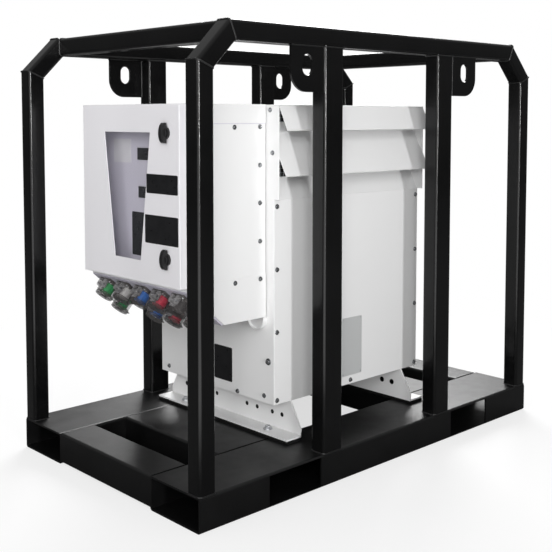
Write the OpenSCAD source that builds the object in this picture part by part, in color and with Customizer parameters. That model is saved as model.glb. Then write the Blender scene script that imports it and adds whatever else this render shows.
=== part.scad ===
// Power transformer with a distribution box, carried in a steel lifting frame on a fork skid.
// X is the width, Y the length with the distribution door facing -Y, and Z is up.
// The origin is at the bottom centre of the skid. Sizes are in millimetres.

/* [Skid] */
// Length of the skid along Y
skid_l = 1605; // [1400:1:2000]
// Width of the skid along X
skid_w = 950; // [850:1:1200]
// Height of the skid tubes
skid_h = 101.6; // [90:0.1:150]
// Outer width of each long rail
rail_w = 228.6; // [200:0.1:240]
// Wall of the skid tubes
skid_wall = 6.35; // [4:0.05:9]
// Outer width of each fork tube across the skid
fork_tube_w = 228.6; // [200:0.1:240]
// Distance from the middle of the skid to the middle of each fork tube
fork_tube_y = 437; // [420:1:460]
// Depth of the end cross members along Y
cross_d = 134; // [100:1:160]
// Height of the underside of the cross members above the ground
cross_lift = 4; // [1:0.5:10]

/* [Lifting frame] */
// Height of the whole frame above the ground
frame_h = 1393; // [1330:1:1600]
// Side of the square frame tube
tube = 50.8; // [40:0.1:60]
// Distance of the frame from the edge of the skid
frame_inset = 4; // [0:0.5:10]
// Height and length of the sloping corner knees
knee = 111; // [90:1:150]
// Width of the middle posts along Y
mid_post_w = 76.2; // [60:0.1:90]
// Distance from the middle of the skid to each middle post
mid_post_y = 276; // [240:1:320]
// Distance of the short top rails behind the upper knee corner
short_rail_set = 5; // [0:1:30]

/* [Lifting eyes] */
// Length of each eye plate along Y
eye_l = 141; // [130:1:180]
// Height of each eye plate
eye_h = 138.5; // [130:0.5:170]
// Thickness of each eye plate
eye_t = 9.5; // [6:0.1:16]
// Radius of the rounded lower corner
eye_corner_r = 62; // [40:1:66]
// Width of the shackle slot
slot_w = 51; // [36:1:56]
// Height of the shackle slot
slot_h = 67.5; // [60:0.5:80]
// Distance of the slot from the middle post
slot_out = 74.5; // [60:0.5:85]
// Depth of the slot's middle below the top rail
slot_drop = 58.8; // [50:0.1:70]

/* [Enclosure] */
// Length of the enclosure along Y
body_l = 716; // [660:1:800]
// Width of the lower enclosure
body_w = 588; // [540:1:620]
// Height of the lower enclosure
body_h = 652; // [600:1:700]
// Width of the upper ventilated section
upper_w = 634; // [624:1:680]
// Height of the upper ventilated section
upper_h = 295; // [280:1:340]
// Thickness of the panel sheet
sheet = 3; // [2:0.1:5]

/* [Vent hoods] */
// Width of the upper section between its vented sides
vent_core_w = 520; // [480:1:530]
// Height of the sloping shoulders over the side panels
shoulder_h = 68; // [50:1:72]
// Reach of the upper hoods beyond the end panels
upper_hood_out = 37; // [25:1:50]
// Drop of the upper hoods
upper_hood_drop = 75; // [55:1:85]
// Lap of the upper hoods under the top cover
hood_lap = 12; // [8:1:20]
// Reach of the lower hoods beyond the end panels
lower_hood_out = 31; // [25:1:50]
// Rise of the lower hoods from their free edge
lower_hood_rise = 161; // [140:1:165]
// Distance of the lower hoods' free edge below the top cover
lower_hood_low = 216; // [205:1:222]
// Thickness of the hood sheet along X
hood_t = 4; // [3:0.1:6]
// Height of the upper vent screens
upper_screen_h = 50; // [30:1:50]
// Height of the lower vent screens
lower_screen_h = 120; // [80:1:130]
// Thickness of each vent screen
screen_t = 1.5; // [1:0.1:3]
// Distance of the screens from the ends of the enclosure
screen_end = 8; // [4:1:30]

/* [Feet] */
// Thickness of the rubber pads under the feet
pad_t = 10; // [6:0.5:15]
// Height of the feet
foot_h = 110.4; // [90:0.1:140]
// Width of the feet along X at the bottom
foot_w = 672; // [620:1:700]
// Width of the feet along X at the top
foot_top_w = 577; // [480:1:580]
// Height of the upright ends of the feet
foot_toe = 26; // [15:1:40]
// Depth of the foot flanges
foot_flange = 62; // [50:1:80]
// Thickness of the foot plates
foot_t = 6; // [4:0.5:10]
// Distance between the outer faces of the two foot plates
foot_spread = 562; // [500:1:600]

/* [Distribution box] */
// Width of the box
box_w = 520; // [480:1:560]
// Depth of the box from the enclosure to its front edge
box_d = 306; // [290:1:330]
// Depth of the recess behind the door
recess_d = 40; // [30:1:60]
// Height of the box from its flat bottom to its top
box_h = 668; // [640:1:720]
// Length of the flat bottom of the box
box_flat = 176; // [150:1:200]
// Height of the sloping connector face
slope_h = 114; // [90:1:118]
// Thickness of the dead front plate
dead_front_t = 3; // [2:0.1:5]
// Clearance between the dead front and the box walls
dead_front_gap = 6; // [4:0.5:12]

/* [Door] */
// Width of the door
door_w = 514; // [480:1:516]
// Height of the door
door_h = 540; // [500:1:544]
// Depth of the door's turned edges
door_d = 27; // [24:0.5:35]
// Gap between the door and the box, filled by the hinge barrels
door_gap = 6; // [6:0.1:9]
// Thickness of the door sheet
door_t = 3; // [2:0.1:4]
// Width of the window along its top edge
window_top_w = 246; // [200:1:270]
// Width of the window along its bottom edge
window_low_w = 140; // [120:1:190]
// Height of the window
window_h = 391; // [340:1:410]
// Distance of the window's top edge below the top of the door
window_drop = 84; // [70:1:100]
// Distance of the window's middle to the left of the door's middle
window_shift = 9; // [0:1:15]
// Overlap of the window pane behind the door sheet
pane_lap = 12; // [8:1:15]
// Thickness of the window pane
pane_t = 3; // [2:0.1:5]

/* [Door hinges] */
// Radius of the hinge barrels
barrel_r = 2.8; // [2:0.1:2.9]
// Length of each half of a hinge barrel
barrel_l = 30; // [20:1:40]
// Distance of the hinge axis outside the door's edge
hinge_out = 1; // [0.5:0.1:1.5]
// Distance between neighbouring hinges
hinge_pitch = 190; // [150:1:210]
// Width of the tabs that carry the barrels
hinge_tab = 2; // [1.5:0.1:2.5]
// Gap between the two halves of a barrel
hinge_gap = 0.3; // [0.2:0.05:0.5]

/* [Door latches] */
// Distance of the latches from the middle of the door
latch_x = 195; // [180:1:215]
// Distance of the upper latch below the top of the door
latch_drop = 85; // [60:1:110]
// Distance between the two latches
latch_pitch = 373; // [340:1:400]
// Length of the latch wing
wing_l = 62; // [50:1:75]
// Width of the latch wing
wing_w = 15; // [10:1:20]
// Depth of the latch wing
wing_d = 15; // [10:1:20]
// Radius of the latch collar
collar_r = 13; // [10:0.5:18]
// Depth of the latch collar
collar_d = 8; // [5:0.5:12]
// Radius of the latch shaft
shaft_r = 5; // [4:0.1:7]
// Radius of the nut behind the door sheet
nut_r = 9; // [8:0.5:12]
// Depth of the nut behind the door sheet
nut_d = 6; // [4:0.5:9]
// Running clearance of the latch in the door
latch_gap = 0.3; // [0.2:0.05:0.5]

/* [Connectors] */
// Thickness of the sloping connector plate
plate_t = 4; // [2:0.5:6]
// Distance of the connector plate from each side of the box
plate_side = 5; // [2:1:12]
// Distance between neighbouring connectors in a row
connector_pitch = 97; // [85:1:104]
// Distance of the upper row from the upper edge of the slope
upper_row = 44; // [36:1:55]
// Distance between the two rows
row_pitch = 80; // [72:1:88]
// Radius of the connector caps
cap_r = 30; // [26:0.5:33]
// Wall of the connector caps
cap_wall = 3.5; // [2:0.1:5]
// Length of the connector caps
cap_l = 46; // [40:1:56]
// Thickness of the connector flanges
flange_t = 4; // [3:0.5:6]
// Radius of the coloured connector barrels
plug_r = 20; // [16:0.5:21]
// Length of the coloured connector barrels
plug_l = 34; // [26:1:35]

/* [Cable hub] */
// Radius of the hub
hub_r = 37; // [30:1:45]
// Depth of the hub
hub_d = 20; // [14:1:30]
// Distance of the hub from the side of the box
hub_side = 32; // [20:1:60]
// Distance of the hub's middle below the box
hub_drop = 6; // [2:1:15]
// Gap between the hub and the box
hub_gap = 0.3; // [0.2:0.05:0.6]

/* [Hidden] */
$fn = 48;
cut = 1;

rail_in_x = skid_w/2 - rail_w;
fork_out_y = fork_tube_y + fork_tube_w/2;
fork_in_y = fork_tube_y - fork_tube_w/2;
pocket_out_y = fork_out_y - skid_wall;
pocket_in_y = fork_in_y + skid_wall;
cross_in_y = skid_l/2 - cross_d;

frame_x = skid_w/2 - frame_inset;
frame_y = skid_l/2 - frame_inset;
frame_in_x = frame_x - tube;
rail_low_z = frame_h - tube;
knee_low_z = frame_h - knee;
knee_top_y = frame_y - knee;
mitre = tube*tan(22.5);
short_rail_y = knee_top_y - short_rail_set;
mid_out_y = mid_post_y + mid_post_w/2;
slot_y = mid_out_y + slot_out;
slot_z = rail_low_z - slot_drop;

foot_z = skid_h + pad_t;
body_z = foot_z + foot_h;
upper_z = body_z + body_h;
top_z = upper_z + upper_h;
front_y = -body_l/2;
vent_x = upper_w/2;
cover_z = top_z - sheet;
core_x = vent_core_w/2;
shoulder_z = upper_z + shoulder_h;
lower_hood_z = cover_z - lower_hood_low;
lower_hood_run = vent_x + lower_hood_out - core_x;

box_top_z = top_z;
box_low_z = box_top_z - box_h;
box_front_y = front_y - box_d;
block_front_y = box_front_y + recess_d;
flat_front_y = front_y - box_flat;
slope_run = box_d - box_flat;
slope_angle = atan(slope_h/slope_run);
slope_l = sqrt(slope_run*slope_run + slope_h*slope_h);
slope_top_z = box_low_z + slope_h;
slope_block_z = box_low_z + slope_h*(slope_run - recess_d)/slope_run;

door_top_z = box_top_z;
door_low_z = door_top_z - door_h;
door_back_y = box_front_y - door_gap;
door_front_y = door_back_y - door_d;
skin_back_y = door_front_y + door_t;
window_top_z = door_top_z - window_drop;
window_low_z = window_top_z - window_h;
door_mid_z = (door_top_z + door_low_z)/2;
hinge_x = -door_w/2 - hinge_out;
hinge_y = box_front_y - door_gap/2;
sill_z = door_low_z;

// Frame corners by side: X sign, then Y sign
LEFT = -1;
RIGHT = 1;
FRONT = -1;
REAR = 1;

// Connector columns, counted from the middle of the box
COLUMN_GROUND = -2;
COLUMN_NEUTRAL = -1;
COLUMN_BLUE = 0;
COLUMN_RED = 1;
COLUMN_BLACK = 2;

frame_black = [0.06, 0.06, 0.065];
powder_white = [0.92, 0.92, 0.92];
door_grey = [0.86, 0.86, 0.88];
plate_grey = [0.66, 0.65, 0.7];
screen_dark = [0.1, 0.1, 0.1];
knob_black = [0.04, 0.04, 0.045];
pad_black = [0.05, 0.05, 0.05];
zinc = [0.62, 0.63, 0.65];
clear_pane = [0.75, 0.8, 0.85, 0.3];
smoky_cap = [0.3, 0.3, 0.32, 0.45];
ground_green = [0.05, 0.5, 0.2];
neutral_white = [0.85, 0.85, 0.85];
phase_blue = [0.1, 0.35, 0.75];
phase_red = [0.8, 0.08, 0.15];
phase_black = [0.08, 0.08, 0.09];

// A box between two opposite corners
module block(low, high) {
    translate(low) cube(high - low);
}

// An outline in Y and Z, drawn out along X from x_low to x_high
module across_x(x_low, x_high) {
    translate([x_low, 0, 0]) rotate([90, 0, 90]) linear_extrude(x_high - x_low) children();
}

// An outline in X and Z, drawn out along Y from y_low to y_high
module along_y(y_low, y_high) {
    translate([0, y_high, 0]) rotate([90, 0, 0]) linear_extrude(y_high - y_low) children();
}

// A copy on the side that faces the given X and Y signs
module placed(side, end) {
    mirror([side < 0 ? 1 : 0, 0, 0]) mirror([0, end < 0 ? 1 : 0, 0]) children();
}

// Skid

module skid_rail(side) {
    color(frame_black) placed(side, REAR) difference() {
        block([rail_in_x, -skid_l/2, 0], [skid_w/2, skid_l/2, skid_h]);
        block([rail_in_x + skid_wall, -skid_l/2 - cut, skid_wall],
              [skid_w/2 - skid_wall, skid_l/2 + cut, skid_h - skid_wall]);
        for (end = [FRONT, REAR])
            placed(RIGHT, end)
                block([rail_in_x - cut, pocket_in_y, skid_wall],
                      [skid_w/2 + cut, pocket_out_y, skid_h - skid_wall]);
    }
}

module cross_member(end) {
    color(frame_black) placed(RIGHT, end)
        block([-rail_in_x, cross_in_y, cross_lift], [rail_in_x, skid_l/2, skid_h]);
}

module fork_tube(end) {
    color(frame_black) placed(RIGHT, end) difference() {
        block([-rail_in_x, fork_in_y, 0], [rail_in_x, fork_out_y, skid_h]);
        block([-rail_in_x - cut, fork_in_y + skid_wall, skid_wall],
              [rail_in_x + cut, fork_out_y - skid_wall, skid_h - skid_wall]);
    }
}

// Lifting frame

module corner_post(side, end) {
    color(frame_black) placed(side, end) across_x(frame_in_x, frame_x)
        polygon([
            [frame_y - tube, skid_h], [frame_y, skid_h],
            [frame_y, knee_low_z], [frame_y - tube, knee_low_z - mitre]
        ]);
}

module mid_post(side, end) {
    color(frame_black) placed(side, end)
        block([frame_in_x, mid_post_y - mid_post_w/2, skid_h], [frame_x, mid_out_y, rail_low_z]);
}

module long_top_rail(side) {
    color(frame_black) placed(side, REAR) across_x(frame_in_x, frame_x)
        polygon([
            [-knee_top_y, frame_h], [knee_top_y, frame_h],
            [knee_top_y - mitre, rail_low_z], [mitre - knee_top_y, rail_low_z]
        ]);
}

module short_top_rail(end) {
    color(frame_black) placed(RIGHT, end)
        block([-frame_in_x, short_rail_y - tube, rail_low_z], [frame_in_x, short_rail_y, frame_h]);
}

module corner_knees() {
    color(frame_black) for (side = [LEFT, RIGHT], end = [FRONT, REAR])
        placed(side, end) across_x(frame_in_x, frame_x)
            polygon([
                [frame_y, knee_low_z], [knee_top_y, frame_h],
                [knee_top_y - mitre, rail_low_z], [frame_y - tube, knee_low_z - mitre]
            ]);
}

module eye_outline() {
    difference() {
        union() {
            translate([mid_out_y, rail_low_z - eye_h + eye_corner_r])
                square([eye_l, eye_h - eye_corner_r]);
            translate([mid_out_y, rail_low_z - eye_h]) square([eye_l - eye_corner_r, eye_h]);
            translate([mid_out_y + eye_l - eye_corner_r, rail_low_z - eye_h + eye_corner_r])
                circle(eye_corner_r);
        }
        for (lift = [-1, 1])
            translate([slot_y, slot_z + lift*(slot_h - slot_w)/2]) circle(d = slot_w);
        translate([slot_y - slot_w/2, slot_z - (slot_h - slot_w)/2]) square([slot_w, slot_h - slot_w]);
    }
}

module lifting_eyes() {
    color(frame_black) for (side = [LEFT, RIGHT], end = [FRONT, REAR])
        placed(side, end) across_x(frame_x - eye_t, frame_x) eye_outline();
}

// Feet and enclosure

module foot(end) {
    color(powder_white) placed(RIGHT, end) {
        along_y(foot_spread/2 - foot_t, foot_spread/2)
            polygon([
                [-foot_w/2, foot_z], [foot_w/2, foot_z], [foot_w/2, foot_z + foot_toe],
                [foot_top_w/2, body_z], [-foot_top_w/2, body_z], [-foot_w/2, foot_z + foot_toe]
            ]);
        block([-foot_w/2, foot_spread/2 - foot_t, foot_z],
              [foot_w/2, foot_spread/2 + foot_flange, foot_z + foot_t]);
    }
}

module foot_pads() {
    color(pad_black) for (end = [FRONT, REAR])
        placed(RIGHT, end)
            block([-foot_w/2, foot_spread/2 - foot_t, skid_h],
                  [foot_w/2, foot_spread/2 + foot_flange, foot_z]);
}

module enclosure_core() {
    color(powder_white)
        block([sheet - body_w/2, front_y + sheet, body_z], [body_w/2 - sheet, -front_y - sheet, upper_z]);
}

module upper_section() {
    color(powder_white) along_y(front_y + sheet, -front_y - sheet)
        polygon([
            [-body_w/2, upper_z], [body_w/2, upper_z], [core_x, shoulder_z], [core_x, cover_z],
            [-core_x, cover_z], [-core_x, shoulder_z]
        ]);
}

module end_panel(end) {
    color(powder_white) placed(RIGHT, end) along_y(-front_y - sheet, -front_y)
        polygon([
            [-body_w/2, body_z], [body_w/2, body_z], [body_w/2, upper_z], [vent_x, upper_z],
            [vent_x, cover_z], [-vent_x, cover_z], [-vent_x, upper_z], [-body_w/2, upper_z]
        ]);
}

module side_panel(side) {
    color(powder_white) placed(side, REAR)
        block([body_w/2 - sheet, front_y + sheet, body_z], [body_w/2, -front_y - sheet, upper_z]);
}

module top_cover() {
    color(powder_white) block([-vent_x, front_y, cover_z], [vent_x, -front_y, top_z]);
}

// A sloping sheet that laps under the top cover
module upper_hood() {
    polygon([
        [vent_x - hood_lap, cover_z], [vent_x, cover_z],
        [vent_x + upper_hood_out, cover_z - upper_hood_drop],
        [vent_x + upper_hood_out - hood_t, cover_z - upper_hood_drop],
        [vent_x - hood_t + hood_t*upper_hood_out/upper_hood_drop, cover_z - hood_t],
        [vent_x - hood_lap, cover_z - hood_t]
    ]);
}

// A sloping sheet that stands on the side of the upper section
module lower_hood() {
    polygon([
        [core_x, lower_hood_z + lower_hood_rise], [core_x + lower_hood_run, lower_hood_z],
        [core_x + lower_hood_run - hood_t, lower_hood_z],
        [core_x, lower_hood_z + lower_hood_rise*(1 - hood_t/lower_hood_run)]
    ]);
}

module vent_hoods(side) {
    color(powder_white) placed(side, REAR) along_y(front_y + sheet, -front_y - sheet) {
        upper_hood();
        lower_hood();
    }
}

module vent_screens() {
    color(screen_dark) for (side = [LEFT, RIGHT])
        placed(side, REAR) {
            block([core_x, front_y + screen_end, cover_z - upper_screen_h],
                  [core_x + screen_t, -front_y - screen_end, cover_z]);
            block([core_x, front_y + screen_end, shoulder_z],
                  [core_x + screen_t, -front_y - screen_end, shoulder_z + lower_screen_h]);
        }
}

// Distribution box

module panel_box() {
    color(powder_white) across_x(-box_w/2, box_w/2)
        polygon([
            [block_front_y, box_top_z], [front_y, box_top_z], [front_y, box_low_z],
            [flat_front_y, box_low_z], [block_front_y, slope_block_z]
        ]);
}

module box_collar() {
    color(powder_white) {
        for (side = [LEFT, RIGHT])
            placed(side, REAR) across_x(box_w/2 - sheet, box_w/2)
                polygon([
                    [box_front_y, box_top_z], [block_front_y, box_top_z],
                    [block_front_y, slope_block_z], [box_front_y, slope_top_z]
                ]);
        block([-box_w/2, box_front_y, box_top_z - sheet], [box_w/2, block_front_y, box_top_z]);
        across_x(-box_w/2, box_w/2)
            polygon([
                [box_front_y, sill_z], [block_front_y, sill_z],
                [block_front_y, slope_block_z], [box_front_y, slope_top_z]
            ]);
    }
}

module dead_front() {
    color(plate_grey)
        block([-box_w/2 + sheet + dead_front_gap, block_front_y - dead_front_t, sill_z + dead_front_gap],
              [box_w/2 - sheet - dead_front_gap, block_front_y, box_top_z - sheet - dead_front_gap]);
}

// Shapes drawn on the sloping face: X as on the box, Y down the slope, Z out of the box
module on_slope() {
    translate([0, box_front_y, slope_top_z]) rotate([180 - slope_angle, 0, 0]) mirror([0, 1, 0]) children();
}

module connector_plate() {
    color(plate_grey) on_slope()
        block([plate_side - box_w/2, 0, 0], [box_w/2 - plate_side, slope_l, plate_t]);
}

module at_connector(column, row) {
    on_slope() translate([column*connector_pitch, upper_row + row*row_pitch, plate_t]) children();
}

module connector(column, row) {
    at_connector(column, row) {
        cylinder(r = cap_r, h = flange_t);
        cylinder(r = plug_r, h = flange_t + plug_l);
    }
}

module connector_pair(column, tint) {
    color(tint) for (row = [0, 1]) connector(column, row);
}

module neutral_connector() {
    color(neutral_white) connector(COLUMN_NEUTRAL, 0);
}

module cap(column, row) {
    at_connector(column, row) translate([0, 0, flange_t]) difference() {
        cylinder(r = cap_r, h = cap_l);
        translate([0, 0, -cut]) cylinder(r = cap_r - cap_wall, h = cap_l - cap_wall + cut);
    }
}

module connector_caps() {
    color(smoky_cap) {
        for (column = [COLUMN_GROUND, COLUMN_BLUE, COLUMN_RED, COLUMN_BLACK], row = [0, 1])
            cap(column, row);
        cap(COLUMN_NEUTRAL, 0);
    }
}

module cable_hub() {
    color(powder_white) difference() {
        translate([box_w/2 - hub_side, front_y, box_low_z - hub_drop])
            rotate([90, 0, 0]) cylinder(r = hub_r, h = hub_d);
        block([0, front_y - hub_d - cut, box_low_z - hub_gap], [box_w, front_y + cut, box_low_z + 2*hub_r]);
    }
}

// Door

function hinge_zs() = [for (step = [-1, 0, 1]) door_mid_z + step*hinge_pitch];

module door_hinges() {
    color(zinc) for (z = hinge_zs()) {
        translate([hinge_x, hinge_y, z - barrel_l]) cylinder(r = barrel_r, h = barrel_l);
        block([hinge_x - hinge_tab/2, hinge_y, z - barrel_l], [hinge_x + hinge_tab/2, box_front_y, z]);
    }
}

module door_knuckles() {
    for (z = hinge_zs()) {
        translate([hinge_x, hinge_y, z + hinge_gap]) cylinder(r = barrel_r, h = barrel_l);
        block([hinge_x + hinge_out, door_back_y, z + hinge_gap],
              [hinge_x + hinge_out + hinge_tab/2, hinge_y, z + hinge_gap + barrel_l]);
    }
}

module window_outline(lap) {
    polygon([
        [-window_shift - window_top_w/2 - lap, window_top_z + lap],
        [-window_shift + window_top_w/2 + lap, window_top_z + lap],
        [-window_shift + window_low_w/2 + lap, window_low_z - lap],
        [-window_shift - window_low_w/2 - lap, window_low_z - lap]
    ]);
}

function latch_zs() = [door_top_z - latch_drop, door_top_z - latch_drop - latch_pitch];

module panel_door() {
    color(door_grey) {
        difference() {
            block([-door_w/2, door_front_y, door_low_z], [door_w/2, door_back_y, door_top_z]);
            block([door_t - door_w/2, skin_back_y, door_low_z + door_t],
                  [door_w/2 - door_t, door_back_y + cut, door_top_z - door_t]);
            along_y(door_front_y - cut, skin_back_y + cut) window_outline(0);
            for (z = latch_zs())
                translate([latch_x, skin_back_y + cut, z]) rotate([90, 0, 0])
                    cylinder(r = shaft_r + latch_gap, h = door_t + 2*cut);
        }
        door_knuckles();
    }
}

module door_window() {
    color(clear_pane) along_y(skin_back_y, skin_back_y + pane_t) window_outline(pane_lap);
}

module latch(z) {
    color(knob_black) translate([latch_x, door_front_y, z]) {
        translate([0, -latch_gap, 0]) rotate([90, 0, 0]) cylinder(r = collar_r, h = collar_d);
        block([-wing_w/2, -latch_gap - collar_d - wing_d, -wing_l/2],
              [wing_w/2, -latch_gap - collar_d, wing_l/2]);
        translate([0, door_t + latch_gap, 0]) rotate([90, 0, 0])
            cylinder(r = shaft_r, h = door_t + 2*latch_gap);
        translate([0, door_t + latch_gap + nut_d, 0]) rotate([90, 0, 0]) cylinder(r = nut_r, h = nut_d);
    }
}

skid_rail(LEFT);  // left_skid_rail
skid_rail(RIGHT);  // right_skid_rail
cross_member(FRONT);  // front_cross_member
cross_member(REAR);  // rear_cross_member
fork_tube(FRONT);  // front_fork_tube
fork_tube(REAR);  // rear_fork_tube
corner_post(LEFT, FRONT);  // front_left_post
corner_post(RIGHT, FRONT);  // front_right_post
corner_post(LEFT, REAR);  // rear_left_post
corner_post(RIGHT, REAR);  // rear_right_post
mid_post(LEFT, FRONT);  // front_left_mid_post
mid_post(RIGHT, FRONT);  // front_right_mid_post
mid_post(LEFT, REAR);  // rear_left_mid_post
mid_post(RIGHT, REAR);  // rear_right_mid_post
long_top_rail(LEFT);  // left_top_rail
long_top_rail(RIGHT);  // right_top_rail
short_top_rail(FRONT);  // front_top_rail
short_top_rail(REAR);  // rear_top_rail
corner_knees();
lifting_eyes();
foot(FRONT);  // front_foot
foot(REAR);  // rear_foot
foot_pads();
enclosure_core();
upper_section();
end_panel(FRONT);  // front_end_panel
end_panel(REAR);  // rear_end_panel
side_panel(LEFT);  // left_side_panel
side_panel(RIGHT);  // right_side_panel
top_cover();
vent_hoods(LEFT);  // left_vent_hoods
vent_hoods(RIGHT);  // right_vent_hoods
vent_screens();
panel_box();
box_collar();
dead_front();
connector_plate();
connector_pair(COLUMN_GROUND, ground_green);  // ground_connectors
neutral_connector();
connector_pair(COLUMN_BLUE, phase_blue);  // blue_connectors
connector_pair(COLUMN_RED, phase_red);  // red_connectors
connector_pair(COLUMN_BLACK, phase_black);  // black_connectors
connector_caps();
cable_hub();
door_hinges();
panel_door();
door_window();
latch(latch_zs()[0]);  // upper_latch
latch(latch_zs()[1]);  // lower_latch
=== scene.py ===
"""Looks of a power transformer in a tubular lifting frame.

Tube, sheet, hardware, finishes, light and camera.
"""

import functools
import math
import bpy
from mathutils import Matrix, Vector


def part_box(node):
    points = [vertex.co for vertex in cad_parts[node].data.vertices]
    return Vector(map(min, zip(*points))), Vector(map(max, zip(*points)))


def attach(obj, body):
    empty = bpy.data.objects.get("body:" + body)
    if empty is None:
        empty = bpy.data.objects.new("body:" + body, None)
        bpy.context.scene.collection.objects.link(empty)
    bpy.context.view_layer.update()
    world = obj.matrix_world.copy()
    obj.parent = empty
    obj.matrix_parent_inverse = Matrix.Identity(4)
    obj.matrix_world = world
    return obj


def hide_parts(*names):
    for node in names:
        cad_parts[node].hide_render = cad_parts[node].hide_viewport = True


bl_info = {
    "name": "Power Transformer Looks",
    "version": (1, 0, 0),
    "blender": (4, 5, 0),
    "location": "View3D > Sidebar > Transformer",
    "description": "Dresses the packed transformer with rounded tube, folded sheet, hardware and finishes",
    "category": "Object",
}

import bpy
from bpy.props import FloatProperty, FloatVectorProperty, PointerProperty
from mathutils import Vector

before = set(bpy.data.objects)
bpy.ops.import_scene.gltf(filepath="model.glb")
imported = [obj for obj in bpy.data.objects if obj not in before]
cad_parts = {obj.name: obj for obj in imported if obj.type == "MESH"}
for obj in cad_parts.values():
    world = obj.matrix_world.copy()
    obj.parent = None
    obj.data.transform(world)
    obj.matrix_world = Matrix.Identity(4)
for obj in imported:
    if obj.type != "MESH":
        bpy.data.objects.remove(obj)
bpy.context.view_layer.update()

MM = 0.001
X = Vector((1, 0, 0))
Y = Vector((0, 1, 0))
Z = Vector((0, 0, 1))
ENDS = {"front": -1, "rear": 1}
SIDES = {"left": -1, "right": 1}
FRAME = "frame"
DOOR = "door"
CORNERS = tuple((side, end) for side in SIDES.values() for end in ENDS.values())


def mm(*values):
    """Millimetres as metres."""
    return tuple(value * MM for value in values)


# Lifting frame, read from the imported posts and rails
POST_LOW, POST_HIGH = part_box("rear_right_post")
RAIL_LOW, RAIL_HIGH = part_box("right_top_rail")
MID_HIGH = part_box("rear_right_mid_post")[1]
TUBE = POST_HIGH.x - POST_LOW.x
TUBE_X = (POST_LOW.x + POST_HIGH.x) / 2
SKID_TOP = POST_LOW.z
MITRE_TURN = math.radians(22.5)
KNEE_LEAN = math.sqrt(0.5)

# Enclosure and distribution box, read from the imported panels
SIDE_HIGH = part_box("right_side_panel")[1]
COVER_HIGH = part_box("top_cover")[1]
BOX_LOW, BOX_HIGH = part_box("panel_box")
COLLAR_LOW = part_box("box_collar")[0]
HOOD_LOW, HOOD_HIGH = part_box("right_vent_hoods")
FRONT_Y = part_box("front_end_panel")[0].y
VENT_X = COVER_HIGH.x


class TubeSettings(bpy.types.PropertyGroup):
    """Skid and lifting frame"""

    paint: FloatVectorProperty(
        name="Paint", description="Colour of the frame's paint", subtype="COLOR",
        min=0, max=1, default=(0.0022, 0.0022, 0.0023))
    tube_corner: FloatProperty(
        name="Tube corner", description="Corner radius of the frame tube", unit="LENGTH",
        min=1 * MM, max=14 * MM, default=10 * MM)
    fuller: FloatProperty(
        name="Fuller", description="How far the drawn frame tube stands out from its solid on each face",
        unit="LENGTH", min=0, max=6 * MM, default=3.5 * MM)
    skid_corner: FloatProperty(
        name="Skid corner", description="Corner radius of the skid tubes", unit="LENGTH",
        min=2 * MM, max=20 * MM, default=9 * MM)
    skid_wall: FloatProperty(
        name="Skid wall", description="Wall of the skid tubes", unit="LENGTH",
        min=3 * MM, max=10 * MM, default=6.35 * MM)
    weld: FloatProperty(
        name="Weld", description="Radius of the weld beads", unit="LENGTH",
        min=1 * MM, max=5 * MM, default=2.8 * MM)


class SheetSettings(bpy.types.PropertyGroup):
    """Enclosure, distribution box and door"""

    coat: FloatVectorProperty(
        name="Coat", description="Colour of the white powder coat", subtype="COLOR",
        min=0, max=1, default=(0.745, 0.745, 0.745))
    door_coat: FloatVectorProperty(
        name="Door coat", description="Colour of the door's powder coat", subtype="COLOR",
        min=0, max=1, default=(0.765, 0.755, 0.78))
    plate: FloatVectorProperty(
        name="Plate", description="Colour of the dead front and the connector plate", subtype="COLOR",
        min=0, max=1, default=(0.55, 0.53, 0.61))
    fold: FloatProperty(
        name="Fold", description="Radius of the folded sheet edges", unit="LENGTH",
        min=0.3 * MM, max=4 * MM, default=1.4 * MM)
    screw: FloatProperty(
        name="Screw", description="Radius of the sheet screws' washers", unit="LENGTH",
        min=3 * MM, max=10 * MM, default=7.8 * MM)


class PoleSettings(bpy.types.PropertyGroup):
    """Connectors"""

    ground: FloatVectorProperty(
        name="Ground", description="Colour of the ground connectors", subtype="COLOR",
        min=0, max=1, default=(0.005, 0.45, 0.11))
    neutral: FloatVectorProperty(
        name="Neutral", description="Colour of the neutral connector", subtype="COLOR",
        min=0, max=1, default=(0.84, 0.82, 0.81))
    blue: FloatVectorProperty(
        name="Blue", description="Colour of the blue connectors", subtype="COLOR",
        min=0, max=1, default=(0.008, 0.20, 0.74))
    red: FloatVectorProperty(
        name="Red", description="Colour of the red connectors", subtype="COLOR",
        min=0, max=1, default=(0.80, 0.012, 0.07))
    black: FloatVectorProperty(
        name="Black", description="Colour of the black connectors", subtype="COLOR",
        min=0, max=1, default=(0.018, 0.018, 0.02))
    cap: FloatVectorProperty(
        name="Cap", description="Tint of the smoky caps", subtype="COLOR",
        min=0, max=1, default=(0.10, 0.092, 0.09))


class StudioSettings(bpy.types.PropertyGroup):
    """Floor, light and camera"""

    floor: FloatVectorProperty(
        name="Floor", description="Colour of the floor", subtype="COLOR",
        min=0, max=1, default=(0.88, 0.88, 0.88))
    key: FloatProperty(
        name="Key light", description="Power of the softbox by the camera", unit="POWER", min=0, default=350)
    side: FloatProperty(
        name="Side light", description="Power of the small light to the right of the camera", unit="POWER",
        min=0, default=290)
    fill: FloatProperty(
        name="Fill light", description="Power of the softbox before the door", unit="POWER",
        min=0, default=135)
    back: FloatProperty(
        name="Back light", description="Power of the softbox behind the object", unit="POWER",
        min=0, default=820)
    bounce: FloatProperty(
        name="Bounce", description="Brightness of the floor before the camera as the object sees it",
        min=0, max=10, default=2.3)
    lens: FloatProperty(
        name="Lens", description="Focal length of the camera in millimetres", min=20, max=200, default=61.12)
    shift: FloatProperty(
        name="Shift", description="Upward shift of the lens as a share of the picture", default=-0.1739)
    camera: FloatVectorProperty(
        name="Camera", description="Place of the camera", subtype="TRANSLATION", unit="LENGTH",
        default=(2.4092, -2.3476, 1.1286))


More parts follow.
